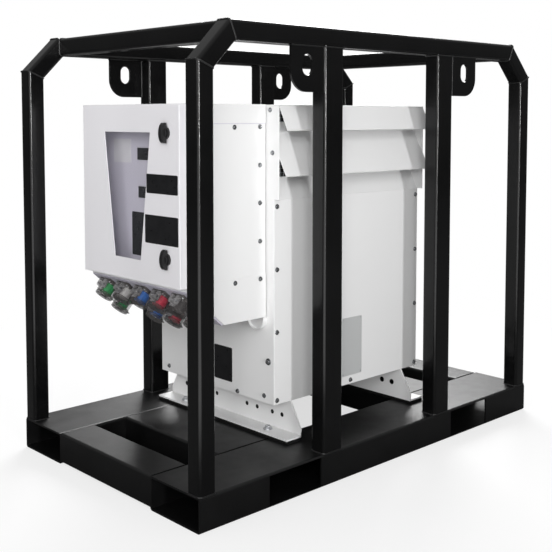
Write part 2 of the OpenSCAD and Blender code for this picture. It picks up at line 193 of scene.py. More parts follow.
class TransformerSettings(bpy.types.PropertyGroup):
    """All settings of the transformer"""

    tube: PointerProperty(type=TubeSettings)
    sheet: PointerProperty(type=SheetSettings)
    poles: PointerProperty(type=PoleSettings)
    studio: PointerProperty(type=StudioSettings)


def settings():
    """The settings that the scene holds."""
    return bpy.context.scene.transformer


# Finishes


def add_node(tree, kind, *sources, **options):
    """A new node with its options set and with sources led into its first sockets."""
    node = tree.nodes.new(kind)
    for name, value in options.items():
        setattr(node, name, value)
    for socket, source in zip(node.inputs, sources):
        tree.links.new(source, socket)
    return node


def set_sockets(node, values):
    """Sets sockets of a node to constants."""
    for name, value in values.items():
        node.inputs[name].default_value = value


class Finish:
    """A material in the making: its shader and the textures that feed it, in the piece's own coordinates."""

    def __init__(self, name, colour, roughness, metallic=0.0):
        self.material = bpy.data.materials.new(name)
        self.material.use_nodes = True
        self.tree = self.material.node_tree
        self.shader = self.tree.nodes["Principled BSDF"]
        self.place = add_node(self.tree, "ShaderNodeTexCoord").outputs["Object"]
        self.colour = tuple(colour)[:3]
        self.set("Base Color", (*self.colour, 1))
        self.set("Roughness", roughness)
        self.set("Metallic", metallic)

    def set(self, socket, value):
        """Sets a socket of the shader to a constant."""
        self.shader.inputs[socket].default_value = value

    def feed(self, socket, source):
        """Leads a source into a socket of the shader."""
        self.tree.links.new(source, self.shader.inputs[socket])

    def noise(self, scale, detail, stretch=(1, 1, 1)):
        """Cloudy values from 0 to 1, with about that many blots a metre."""
        mapping = add_node(self.tree, "ShaderNodeMapping", self.place)
        set_sockets(mapping, {"Scale": stretch})
        node = add_node(self.tree, "ShaderNodeTexNoise", mapping.outputs["Vector"])
        set_sockets(node, {"Scale": scale, "Detail": detail})
        return node.outputs["Fac"]

    def spread(self, source, low, high, start=0.3, stop=0.7):
        """The source's middle range stretched from low to high."""
        node = add_node(self.tree, "ShaderNodeMapRange", source)
        set_sockets(node, {"From Min": start, "From Max": stop, "To Min": low, "To Max": high})
        return node.outputs["Result"]

    def tint(self, source, other):
        """Base colour that goes from the finish's own colour to another one with the source."""
        node = add_node(self.tree, "ShaderNodeMix", data_type="RGBA")
        # The sockets of the colour mode share their names with the other modes
        colour_a, colour_b = (s for s in node.inputs if s.type == "RGBA")
        colour_a.default_value = (*self.colour, 1)
        colour_b.default_value = (*other, 1)
        self.tree.links.new(source, node.inputs["Factor"])
        self.feed("Base Color", next(s for s in node.outputs if s.type == "RGBA"))

    def bump(self, source, depth, strength):
        """A relief of that depth."""
        node = add_node(self.tree, "ShaderNodeBump")
        set_sockets(node, {"Distance": depth, "Strength": strength})
        self.tree.links.new(source, node.inputs["Height"])
        self.feed("Normal", node.outputs["Normal"])

    def mottle(self, scale, detail, other):
        """Clouds of another colour over the finish's own."""
        self.tint(self.spread(self.noise(scale, detail), 0, 1), other)

    def sheen(self, scale, detail, low, high):
        """Roughness that wanders between two values."""
        self.feed("Roughness", self.spread(self.noise(scale, detail), low, high))

    def grain(self, scale, detail, depth, strength):
        """A cloudy relief."""
        self.bump(self.noise(scale, detail), depth, strength)


def shade(colour, factor):
    """A colour made lighter or darker."""
    return tuple(min(1.0, channel * factor) for channel in tuple(colour)[:3])


@functools.cache
def black_paint():
    """Semi-gloss black paint with a little orange peel and dull patches."""
    finish = Finish("black_paint", settings().tube.paint, 0.36)
    finish.set("Specular IOR Level", 0.35)
    finish.mottle(5, 5, shade(finish.colour, 1.7))
    finish.sheen(18, 4, 0.16, 0.25)
    finish.grain(420, 2, 0.25 * MM, 0.25)
    return finish.material


@functools.cache
def skid_paint():
    """The same black paint, duller where it is walked on."""
    finish = Finish("skid_paint", settings().tube.paint, 0.4)
    finish.set("Specular IOR Level", 0.36)
    finish.mottle(5, 5, shade(finish.colour, 1.7))
    finish.sheen(14, 4, 0.34, 0.44)
    finish.grain(420, 2, 0.25 * MM, 0.3)
    return finish.material


@functools.cache
def weld_paint():
    """The same black paint over the rough ripples of a weld."""
    finish = Finish("weld_paint", shade(settings().tube.paint, 1.6), 0.34)
    finish.grain(650, 4, 0.6 * MM, 0.6)
    finish.sheen(300, 3, 0.26, 0.5)
    return finish.material


def powder_coat(name, colour):
    """Powder coat with a fine texture and a faint unevenness."""
    finish = Finish(name, colour, 0.42)
    finish.mottle(2.2, 4, shade(finish.colour, 0.965))
    finish.sheen(9, 3, 0.36, 0.48)
    finish.grain(900, 2, 0.12 * MM, 0.22)
    return finish.material


@functools.cache
def white_coat():
    """Powder coat of the enclosure and the box."""
    return powder_coat("white_coat", settings().sheet.coat)


@functools.cache
def door_coat():
    """Powder coat of the door."""
    return powder_coat("door_coat", settings().sheet.door_coat)


@functools.cache
def plate_paint():
    """Greyer coat of the dead front and the connector plate, also used for the grey strip of painted seam
    shade under the lid.
    """
    return powder_coat("plate_paint", settings().sheet.plate)


@functools.cache
def zinc():
    """Zinc plate with the blotches of its crystals."""
    finish = Finish("zinc", (0.58, 0.59, 0.61), 0.34, 1.0)
    finish.mottle(220, 4, (0.42, 0.43, 0.45))
    finish.sheen(350, 3, 0.25, 0.46)
    finish.grain(1400, 2, 0.06 * MM, 0.3)
    return finish.material


@functools.cache
def screw_steel():
    """Dark bright-edged steel of the sheet screws."""
    finish = Finish("screw_steel", (0.42, 0.43, 0.44), 0.25, 1.0)
    finish.mottle(260, 4, (0.28, 0.285, 0.295))
    finish.sheen(350, 3, 0.16, 0.34)
    return finish.material


@functools.cache
def brushed_plate():
    """Thin metal plate, brushed across."""
    finish = Finish("brushed_plate", (0.62, 0.63, 0.63), 0.42, 0.25)
    strokes = finish.noise(60, 4, (6, 6, 60))
    finish.tint(finish.spread(strokes, 0, 1), (0.5, 0.51, 0.51))
    finish.bump(strokes, 0.05 * MM, 0.3)
    return finish.material


@functools.cache
def knob_plastic():
    """Black moulded plastic with a fine grain."""
    finish = Finish("knob_plastic", (0.006, 0.006, 0.0065), 0.42)
    finish.sheen(160, 3, 0.34, 0.5)
    finish.mottle(40, 3, (0.011, 0.011, 0.012))
    finish.grain(1600, 2, 0.12 * MM, 0.35)
    return finish.material


@functools.cache
def pad_rubber():
    """Black rubber, dull and a little uneven."""
    finish = Finish("pad_rubber", (0.003, 0.003, 0.003), 0.8)
    finish.set("Specular IOR Level", 0.2)
    finish.mottle(45, 5, (0.007, 0.007, 0.007))
    finish.grain(700, 4, 0.3 * MM, 0.5)
    return finish.material


@functools.cache
def dark_inside():
    """Painted shade: near-black for the unlit inside behind the vent screens."""
    finish = Finish("dark_inside", (0.01, 0.01, 0.01), 0.9)
    finish.mottle(30, 3, (0.02, 0.02, 0.02))
    return finish.material


@functools.cache
def card_paper():
    """Pale card with a faint tooth."""
    finish = Finish("card_paper", (0.63, 0.62, 0.65), 0.5)
    finish.mottle(25, 4, (0.56, 0.55, 0.585))
    finish.grain(900, 3, 0.05 * MM, 0.3)
    return finish.material


@functools.cache
def clear_pane():
    """Clear pane that lets most light straight through."""
    finish = Finish("clear_pane", (0.2, 0.21, 0.23), 0.06)
    finish.set("Alpha", 0.04)
    finish.sheen(14, 5, 0.03, 0.12)
    return finish.material


@functools.cache
def smoky_plastic():
    """Smoky clear plastic, part of whose light goes straight through."""
    finish = Finish("smoky_plastic", settings().poles.cap, 0.1)
    finish.set("Alpha", 0.2)
    finish.sheen(90, 4, 0.05, 0.16)
    finish.grain(240, 2, 0.2 * MM, 0.3)
    return finish.material


@functools.cache
def clear_lug():
    """Thick clear plastic of the caps' hinges, half see-through, in a light grey lighter than the smoky caps
    that is partly painted highlight of the clear lugs' glints.
    """
    finish = Finish("clear_lug", (0.34, 0.33, 0.335), 0.1)
    finish.set("Alpha", 0.5)
    finish.mottle(60, 2, (0.2, 0.195, 0.2))
    finish.sheen(110, 4, 0.03, 0.1)
    return finish.material


@functools.cache
def smoky_base():
    """The smoky plastic where it is thick and dark."""
    finish = Finish("smoky_base", shade(settings().poles.cap, 0.3), 0.15)
    finish.mottle(60, 4, shade(settings().poles.cap, 1.0))
    finish.sheen(140, 4, 0.07, 0.2)
    finish.grain(260, 3, 0.3 * MM, 0.4)
    return finish.material


@functools.cache
def smoky_end():
    """The smoky plastic at the caps' ends, which let some light through."""
    finish = Finish("smoky_end", shade(settings().poles.cap, 0.4), 0.1)
    finish.set("Alpha", 0.55)
    finish.mottle(60, 4, shade(settings().poles.cap, 1.0))
    finish.sheen(140, 4, 0.05, 0.14)
    return finish.material


@functools.cache
def plate_print():
    """Dark blank plate with a soft sheen."""
    finish = Finish("plate_print", (0.008, 0.008, 0.009), 0.34)
    finish.set("Specular IOR Level", 0.3)
    finish.mottle(30, 4, (0.013, 0.013, 0.014))
    finish.sheen(60, 3, 0.26, 0.4)
    return finish.material


@functools.cache
def pole_plastic(name):
    """Glossy moulded plastic in a pole's colour."""
    finish = Finish(name + "_plastic", getattr(settings().poles, name), 0.3)
    finish.mottle(70, 3, shade(finish.colour, 0.86))
    finish.sheen(120, 3, 0.24, 0.38)
    return finish.material


# Modelling by hand

PARALLEL = 0.999
FACING = 0.99
SHARP_ANGLE = math.radians(38)
SMOOTH_ANGLE = math.radians(35)


def span(sign, one, other):
    """Two distances on the same side of the middle, in rising order."""
    return sorted((sign * one, sign * other))


def rest():
    """Leaves nothing selected."""
    bpy.ops.object.select_all(action="DESELECT")


def take(obj):
    """Leaves obj alone selected and active."""
    rest()
    obj.select_set(True)
    bpy.context.view_layer.objects.active = obj
    return obj


def settled(name):
    """Names the new active object and moves its place, turn and size into its mesh."""
    obj = bpy.context.active_object
    obj.name = name
    bpy.ops.object.transform_apply(location=True, rotation=True, scale=True)
    return obj


def block(name, low, high):
    """A box between two opposite corners."""
    low = Vector(low)
    high = Vector(high)
    rest()
    bpy.ops.mesh.primitive_cube_add(size=1, location=(low + high) / 2, scale=high - low)
    return settled(name)


def beam(name, start, stop, width, depth):
    """A bar from start to stop with its width along X and its depth along Y.

    It runs in a plane of Y and Z, or of X and Z.
    """
    run = stop - start
    turn = (0, math.atan2(run.x, run.z), 0) if abs(run.x) > abs(run.y) else (math.atan2(-run.y, run.z), 0, 0)
    rest()
    bpy.ops.mesh.primitive_cube_add(
        size=1, location=(start + stop) / 2, scale=(width, depth, run.length), rotation=turn)
    return settled(name)


def drum(name, base, axis, radius, depth, sides):
    """A cylinder that stands on base and runs along axis."""
    axis = Vector(axis).normalized()
    rest()
    bpy.ops.mesh.primitive_cylinder_add(
        vertices=sides, radius=radius, depth=depth, location=Vector(base) + axis * depth / 2,
        rotation=axis.to_track_quat("Z", "Y").to_euler())
    return settled(name)


def choose(obj, kind, test):
    """Opens obj in edit mode with the edges or faces selected whose middle and direction pass the test."""
    take(obj)
    mesh = obj.data
    bpy.context.tool_settings.mesh_select_mode = [kind == each for each in ("VERT", "EDGE", "FACE")]
    for items in (mesh.vertices, mesh.edges, mesh.polygons):
        items.foreach_set("select", [False] * len(items))
    if kind == "FACE":
        for face in mesh.polygons:
            face.select = test(face.center, face.normal)
    else:
        for edge in mesh.edges:
            start, stop = (mesh.vertices[i].co for i in edge.vertices)
            edge.select = test((start + stop) / 2, (stop - start).normalized())
    bpy.ops.object.mode_set(mode="EDIT")


def close_edit():
    """Goes back from edit mode to the object."""
    bpy.ops.object.mode_set(mode="OBJECT")


def everywhere(*_):
    """A test that every edge and face passes."""
    return True


def round_edges(obj, along, radius, segments=4, where=everywhere):
    """Rounds the edges that run along a direction."""
    choose(obj, "EDGE", lambda place, run: abs(run.dot(along)) > PARALLEL and where(place))
    bpy.ops.mesh.bevel(offset=radius, segments=segments, affect="EDGES")
    close_edit()


def cut_off(obj, point, outward):
    """Cuts away what lies beyond a plane and closes the cut."""
    choose(obj, "FACE", everywhere)
    bpy.ops.mesh.bisect(plane_co=point, plane_no=outward, use_fill=True, clear_outer=True)
    close_edit()


def open_faces(obj, *normals):
    """Takes away the faces that look in these directions."""
    choose(obj, "FACE", lambda place, normal: any(normal.dot(each) > FACING for each in normals))
    bpy.ops.mesh.delete(type="FACE")
    close_edit()


def sink_faces(obj, outward, inset, depth):
    """Insets the faces that look outward and moves their middle by depth."""
    choose(obj, "FACE", lambda place, normal: normal.dot(outward) > FACING)
    bpy.ops.mesh.inset(thickness=inset, depth=depth)
    close_edit()


def apply_modifier(obj, kind, **values):
    """Adds a modifier with its values and applies it."""
    take(obj)
    modifier = obj.modifiers.new(kind.lower(), kind)
    for name, value in values.items():
        setattr(modifier, name, value)
    bpy.ops.object.modifier_apply(modifier=modifier.name)
    return obj


def walled(obj, wall):
    """Gives an open shell its wall, inwards."""
    return apply_modifier(obj, "SOLIDIFY", thickness=wall, offset=-1, use_even_offset=True)


def combine(obj, others, operation):
    """Applies other solids to obj one by one, and uses them up."""
    for other in others:
        apply_modifier(obj, "BOOLEAN", operation=operation, solver="EXACT", object=other)
        bpy.data.objects.remove(other)
    return obj


def carve(obj, *cutters):
    """Takes the cutters' shapes out of obj."""
    return combine(obj, cutters, "DIFFERENCE")


def fuse(obj, *others):
    """Makes one solid of obj and the others."""
    return combine(obj, others, "UNION")


def joined(name, parts):
    """Several solids as one object."""
    take(parts[0])
    for part in parts:
        part.select_set(True)
    if len(parts) > 1:
        bpy.ops.object.join()
    return settled(name)


def soften(obj, width, segments=2):
    """Breaks every sharp edge."""
    return apply_modifier(
        obj, "BEVEL", width=width, segments=segments, limit_method="ANGLE", angle_limit=SHARP_ANGLE)


def scattered(name, master, spots):
    """Copies of a master, each at a spot with its Z along the spot's axis, as one object.

    The master is used up.
    """
    copies = []
    for place, axis in spots:
        take(master)
        bpy.ops.object.duplicate()
        copy = bpy.context.active_object
        copy.rotation_euler = Vector(axis).to_track_quat("Z", "Y").to_euler()
        copy.location = place
        copies.append(copy)
    bpy.data.objects.remove(master)
    return joined(name, copies)


def dress(obj, finish, slot, nodes=(), body=FRAME, edge=0.0):
    """Finishes a piece: broken edges, smooth shading, material, and the body and nodes that it goes with."""
    if edge:
        soften(obj, edge)
    take(obj)
    bpy.ops.object.shade_smooth_by_angle(angle=SMOOTH_ANGLE)
    apply_modifier(obj, "WEIGHTED_NORMAL", keep_sharp=True)
    obj.data.materials.clear()
    obj.data.materials.append(finish)
    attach(obj, body)
    if nodes:
        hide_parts(*nodes)
    return obj


def paint_node(node, finish):
    """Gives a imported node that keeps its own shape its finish."""
    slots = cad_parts[node].data.materials
    slots.clear()
    slots.append(finish)


PLATE_SHEET = 0.6 * MM
PLATE_CORNER = 4 * MM


def blank_plate(name, corners, face_y):
    """A dark blank plate on a face that looks to -Y, between two corners in X and Z."""
    (x0, z0), (x1, z1) = corners
    plate = block(name, (x0, face_y - PLATE_SHEET, z0), (x1, face_y, z1))
    round_edges(plate, Y, PLATE_CORNER)
    return plate, plate_print(), "latch_black"


# Screw heads, as shares of the washer's radius
WASHER_D = 0.24
HEX_FOOT = 0.2
HEX_R = 0.66
HEX_D = 0.62
DISH_INSET = 0.16
DISH_D = 0.12
HEAD_EDGE = 0.08


def screw_head(radius):
    """Hex head on a washer, standing on the origin along Z."""
    washer = drum("screw", (0, 0, 0), Z, radius, WASHER_D * radius, 24)
    head = drum("screw_hex", (0, 0, HEX_FOOT * radius), Z, HEX_R * radius, HEX_D * radius, 6)
    sink_faces(head, Z, DISH_INSET * radius, -DISH_D * radius)
    return soften(joined("screw", [washer, head]), HEAD_EDGE * radius)


# Skid and lifting frame

SKID_EDGE = 0.9 * MM


class TRANSFORMER_OT_skid(bpy.types.Operator):
    """Builds the skid's long rails, cross members and fork tubes"""

    bl_idname = "transformer.skid"
    bl_label = "Skid"

    def execute(self, context):
        for side in SIDES:
            self.rail(side + "_skid_rail")
        for end in ENDS:
            self.fork_tube(end + "_fork_tube")
            self.cross_member(end + "_cross_member")
        return {"FINISHED"}

    def tube(self, node, along):
        """A rounded tube, open at both ends, in the node's box."""
        look = settings().tube
        obj = block(node + "_tube", *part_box(node))
        round_edges(obj, along, look.skid_corner, 5)
        open_faces(obj, along, -along)
        return walled(obj, look.skid_wall)

    def rail(self, node):
        """A long rail with a pocket for each fork tube through it."""
        rail = self.tube(node, Y)
        wall = settings().tube.skid_wall
        low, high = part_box(node)
        for end in ENDS:
            tube_low, tube_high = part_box(end + "_fork_tube")
            pocket_low = (low.x - wall, tube_low.y + wall, wall)
            pocket_high = (high.x + wall, tube_high.y - wall, SKID_TOP - wall)
            carve(rail, block("pocket", pocket_low, pocket_high))
        dress(rail, skid_paint(), "frame_black", [node], edge=SKID_EDGE)

    def fork_tube(self, node):
        """A tube across the skid for one fork."""
        dress(self.tube(node, X), skid_paint(), "frame_black", [node], edge=SKID_EDGE)

    def cross_member(self, node):
        """A bar across an end of the skid."""
        obj = block(node + "_bar", *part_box(node))
        round_edges(obj, X, settings().tube.tube_corner)
        dress(obj, skid_paint(), "frame_black", [node])


def lower_mitre(end):
    """A point on the cut between a corner post and its knee, and its upward normal."""
    point = Vector((0, end * POST_HIGH.y, POST_HIGH.z))
    return point, Vector((0, -end * math.sin(MITRE_TURN), math.cos(MITRE_TURN)))


def upper_mitre(end):
    """A point on the cut between a knee and its top rail, and its outward normal."""
    point = Vector((0, end * RAIL_HIGH.y, RAIL_HIGH.z))
    return point, Vector((0, end * math.cos(MITRE_TURN), -math.sin(MITRE_TURN)))


class TRANSFORMER_OT_lifting_frame(bpy.types.Operator):
    """Builds the posts, top rails and corner knees of the lifting frame"""

    bl_idname = "transformer.lifting_frame"
    bl_label = "Lifting frame"

    def execute(self, context):
        for side in SIDES:
            self.long_rail(side + "_top_rail")
            for end in ENDS:
                self.corner_post(f"{end}_{side}_post", ENDS[end])
                self.bar(f"{end}_{side}_mid_post", Z)
        for end in ENDS:
            self.bar(end + "_top_rail", X)
        knees = [self.knee(side, end) for side, end in CORNERS]
        dress(joined("corner_knee_bars", knees), black_paint(), "frame_black", ["corner_knees"])
        return {"FINISHED"}

    def rounded(self, node, along, longer=(0, 0)):
        """A rounded bar in the node's box, fuller on its long faces and longer at its two ends."""
        fuller = settings().tube.fuller
        low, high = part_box(node)
        skin = Vector((1, 1, 1)) * fuller - along * fuller
        bar = block(node + "_bar", low - skin - along * longer[0], high + skin + along * longer[1])
        round_edges(bar, along, settings().tube.tube_corner)
        return bar

    def bar(self, node, along):
        """A bar with square ends."""
        dress(self.rounded(node, along), black_paint(), "frame_black", [node])

    def corner_post(self, node, end):
        """A post, made longer and then cut at its mitre."""
        post = self.rounded(node, Z, (0, TUBE / 2))
        cut_off(post, *lower_mitre(end))
        dress(post, black_paint(), "frame_black", [node])

    def long_rail(self, node):
        """A top rail, made longer and then cut at its two mitres."""
        rail = self.rounded(node, Y, (TUBE / 2, TUBE / 2))
        for end in ENDS.values():
            cut_off(rail, *upper_mitre(end))
        dress(rail, black_paint(), "frame_black", [node])

    def knee(self, side, end):
        """A sloping bar, longer than the knee and then cut at its two mitres."""
        low_point, low_normal = lower_mitre(end)
        top_point, top_normal = upper_mitre(end)
        run = Vector((0, -end * KNEE_LEAN, KNEE_LEAN))
        middle = Vector((side * TUBE_X, 0, 0)) + Vector((0, -end * KNEE_LEAN, -KNEE_LEAN)) * TUBE / 2
        width = TUBE + 2 * settings().tube.fuller
        knee = beam("knee", low_point + middle - run * TUBE, top_point + middle + run * TUBE, width, width)
        round_edges(knee, run, settings().tube.tube_corner)
        cut_off(knee, low_point, -low_normal)
        cut_off(knee, top_point, -top_normal)
        return knee


WELD_PITCH = 1.6 * MM
WELD_RIPPLE = 0.16
WELD_RIPPLE_STEP = 1.9
ARC_STEPS = 4


def rounded_loop(centre, u, v, half_u, half_v, corner):
    """Points round a rectangle with rounded corners, in the plane of u and v."""
    points = []
    for sign_u, sign_v, start in ((1, 1, 0), (-1, 1, 90), (-1, -1, 180), (1, -1, 270)):
        for step in range(ARC_STEPS + 1):
            angle = math.radians(start + 90 * step / ARC_STEPS)
            along_u = sign_u * (half_u - corner) + corner * math.cos(angle)
            along_v = sign_v * (half_v - corner) + corner * math.sin(angle)
            points.append(centre + u * along_u + v * along_v)
    return points + points[:1]


def even_points(points, pitch):
    """Points about a pitch apart along a line of corners."""
    found = []
    for start, stop in zip(points, points[1:]):
        steps = max(1, round((stop - start).length / pitch))
        found += [start.lerp(stop, step / steps) for step in range(steps)]
    return found + [points[-1]]


def weld_beads(name, lines):
    """Rippled beads along lines of corners."""
    curve = bpy.data.curves.new(name, "CURVE")
    curve.dimensions = "3D"
    curve.bevel_depth = settings().tube.weld
    curve.bevel_resolution = 1
    curve.use_fill_caps = True
    for line in lines:
        places = even_points(line, WELD_PITCH)
        spline = curve.splines.new("POLY")
        spline.points.add(len(places) - 1)
        for index, (point, place) in enumerate(zip(spline.points, places)):
            point.co = (*place, 1)
            point.radius = 1 + WELD_RIPPLE * math.sin(index * WELD_RIPPLE_STEP)
    obj = bpy.data.objects.new(name, curve)
    bpy.context.scene.collection.objects.link(obj)
    take(obj)
    bpy.ops.object.convert(target="MESH")
    return bpy.context.active_object


class TRANSFORMER_OT_welds(bpy.types.Operator):
    """Lays the weld beads of the frame's mitres, posts, short rails and eye plates"""

    bl_idname = "transformer.welds"
    bl_label = "Welds"

    def execute(self, context):
        runs = {"mitre_welds": self.mitres(), "post_welds": self.post_ends(), "eye_welds": self.eye_edges()}
        for name, lines in runs.items():
            dress(weld_beads(name, lines), weld_paint(), "frame_black")
        return {"FINISHED"}

    def mitres(self):
        """Loops round the eight mitres, each in the plane of its cut."""
        look = settings().tube
        half = TUBE / 2 + look.fuller
        half_slope = half / math.cos(MITRE_TURN)
        for side, end in CORNERS:
            for point, normal in (lower_mitre(end), upper_mitre(end)):
                slope = normal.cross(X)
                inward = slope if slope.z < 0 else -slope
                middle = point + Vector((side * TUBE_X, 0, 0)) + inward * TUBE / 2 / math.cos(MITRE_TURN)
                yield rounded_loop(middle, X, slope, half, half_slope, look.tube_corner)

    def post_ends(self):
        """Loops round the posts' feet, the middle posts' heads and the ends of the short rails."""
        look = settings().tube
        corner = look.tube_corner
        for side in SIDES:
            for end in ENDS:
                for node, levels in ((f"{end}_{side}_post", [SKID_TOP]),
                                     (f"{end}_{side}_mid_post", [SKID_TOP, RAIL_LOW.z - look.fuller])):
                    low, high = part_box(node)
                    size = (high - low) / 2
                    for level in levels:
                        middle = Vector(((low.x + high.x) / 2, (low.y + high.y) / 2, level))
                        yield rounded_loop(middle, X, Y, size.x + look.fuller, size.y + look.fuller, corner)
        half = TUBE / 2 + look.fuller
        for end in ENDS:
            low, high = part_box(end + "_top_rail")
            for level in (low.x + look.fuller, high.x - look.fuller):
                middle = Vector((level, (low.y + high.y) / 2, (low.z + high.z) / 2))
                yield rounded_loop(middle, Y, Z, half, half, corner)

    def eye_edges(self):
        """Lines up the post and along the rail on both faces of each eye plate."""
        eye_low, eye_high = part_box("lifting_eyes")
        post_y = MID_HIGH.y + settings().tube.fuller
        rail_z = RAIL_LOW.z - settings().tube.fuller
        for side, end in CORNERS:
            for x in (eye_high.x, eye_high.x - EYE_PLATE):
                corner = Vector((side * x, end * post_y, rail_z))
                foot = Vector((side * x, end * post_y, eye_low.z))
                tip = Vector((side * x, end * eye_high.y, rail_z))
                yield [foot, corner, tip]


EYE_PLATE = 9.5 * MM
EYE_CORNER = 62 * MM
EYE_SLOT_W = 41 * MM
EYE_SLOT_H = 62 * MM
EYE_SLOT_OUT = 74.5 * MM
EYE_SLOT_DROP = 58.8 * MM
EYE_SLOT_ROUND = EYE_SLOT_W / 2 - 0.1 * MM


class TRANSFORMER_OT_lifting_eyes(bpy.types.Operator):
    """Builds the four eye plates with their shackle slots"""

    bl_idname = "transformer.lifting_eyes"
    bl_label = "Lifting eyes"

    def execute(self, context):
        eyes = joined("lifting_eye_plates", [self.plate(side, end) for side, end in CORNERS])
        dress(eyes, black_paint(), "frame_black", ["lifting_eyes"], edge=1.2 * MM)
        return {"FINISHED"}

    def plate(self, side, end):
        """A plate between a middle post and its rail, rounded at its free corner."""
        eye_low, eye_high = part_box("lifting_eyes")
        xs = span(side, eye_high.x, eye_high.x - EYE_PLATE)
        ys = span(end, MID_HIGH.y, eye_high.y)
        plate = block("eye_plate", (xs[0], ys[0], eye_low.z), (xs[1], ys[1], RAIL_LOW.z))
        middle_z = (eye_low.z + RAIL_LOW.z) / 2
        middle_y = (ys[0] + ys[1]) / 2
        round_edges(plate, X, EYE_CORNER, 12,
                    lambda place: place.z < middle_z and end * (place.y - middle_y) > 0)
        slot_y = end * (MID_HIGH.y + EYE_SLOT_OUT)
        slot_z = RAIL_LOW.z - EYE_SLOT_DROP
        slot = block("slot", (xs[0] - EYE_PLATE, slot_y - EYE_SLOT_W / 2, slot_z - EYE_SLOT_H / 2),
                     (xs[1] + EYE_PLATE, slot_y + EYE_SLOT_W / 2, slot_z + EYE_SLOT_H / 2))
        round_edges(slot, X, EYE_SLOT_ROUND, 10)
        return carve(plate, slot)


# Feet and enclosure

FOOT_PLATE = 6 * MM
FOOT_TOE = 26 * MM
FOOT_TOP_HALF = 288.5 * MM
FOOT_HOLE = 7.5 * MM
FOOT_HOLE_XS = mm(79, 130, 204, 250)
FOOT_HOLE_Z = 166 * MM
FOOT_BOLT_X = 216 * MM
FOOT_BOLT = 15 * MM
# Black plugs in the foot holes, painted shade of the holes
PLUG_SHEET = 1 * MM
PLUG_LIP = 2 * MM
PLUG_SUNK = 0.5 * MM
PLUG_L = PLUG_SHEET + FOOT_PLATE - PLUG_SUNK


class TRANSFORMER_OT_feet(bpy.types.Operator):
    """Builds the angle feet with their holes, black plugs that paint the holes' shade, and bolts, and the
    rubber pads under them
    """

    bl_idname = "transformer.feet"
    bl_label = "Feet"

    def execute(self, context):
        bolts = []
        plugs = []
        pads = []
        pad_low, pad_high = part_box("foot_pads")
        for end, sign in ENDS.items():
            low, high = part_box(end + "_foot")
            bolts += self.foot(end + "_foot", low, high, sign)
            plugs += self.plugs(high.y if sign < 0 else low.y, sign)
            pads.append(block("pad", (low.x, low.y, pad_low.z), (high.x, high.y, pad_high.z)))
        dress(joined("foot_pad_sheets", pads), pad_rubber(), "pad_rubber", ["foot_pads"], edge=1.5 * MM)
        dress(joined("foot_plugs", plugs), pad_rubber(), "pad_rubber", edge=0.2 * MM)
        dress(scattered("foot_bolts", screw_head(FOOT_BOLT), bolts), zinc(), "hinge_zinc")
        return {"FINISHED"}

    def plugs(self, inner_y, sign):
        """Black rubber plugs with a lip behind the foot that fill its holes almost to the face, painted shade
        so the holes read as dark dots.
        """
        plugs = []
        for x in FOOT_HOLE_XS:
            for side in SIDES.values():
                start = Vector((side * x, inner_y - sign * PLUG_SHEET, FOOT_HOLE_Z))
                plugs.append(drum("plug_lip", start, Y * sign, FOOT_HOLE + PLUG_LIP, PLUG_SHEET, 24))
                plugs.append(drum("plug", start, Y * sign, FOOT_HOLE, PLUG_L, 24))
        return plugs

    def foot(self, node, low, high, sign):
        """The foot's upright plate and flange, and the spots of its bolts."""
        inner_y, outer_y = (low.y, high.y) if sign > 0 else (high.y, low.y)
        face_y = inner_y + sign * FOOT_PLATE
        ys = sorted((inner_y, face_y))
        foot = block(node + "_angle", (low.x, ys[0], low.z), (high.x, ys[1], high.z))
        slope = Vector((high.z - low.z - FOOT_TOE, 0, high.x - FOOT_TOP_HALF)).normalized()
        for side in SIDES.values():
            cut_off(foot, Vector((side * high.x, 0, low.z + FOOT_TOE)), Vector((side * slope.x, 0, slope.z)))
        fuse(foot, block("flange", low, (high.x, high.y, low.z + FOOT_PLATE)))
        holes = [drum("hole", (side * x, inner_y - sign * FOOT_PLATE, FOOT_HOLE_Z), Y * sign, FOOT_HOLE,
                      3 * FOOT_PLATE, 24) for x in FOOT_HOLE_XS for side in SIDES.values()]
        carve(foot, joined("holes", holes))
        dress(foot, white_coat(), "powder_white", [node], edge=0.9 * MM)
        bolt_y = (face_y + outer_y) / 2
        return [(Vector((side * FOOT_BOLT_X, bolt_y, low.z + FOOT_PLATE)), Z) for side in SIDES.values()]


SIDE_SCREW_Y = 345 * MM
SIDE_SCREW_ZS = mm(852, 653, 454, 236)
END_SCREWS = (mm(250, 245), mm(121, 232), mm(278, 1153), mm(289, 1020))
GROUND_BOLT_X, GROUND_BOLT_Z = mm(270, 358)
GROUND_BOLT_R = 11 * MM
FRONT_PLATE = (mm(2, 255), mm(93, 370))


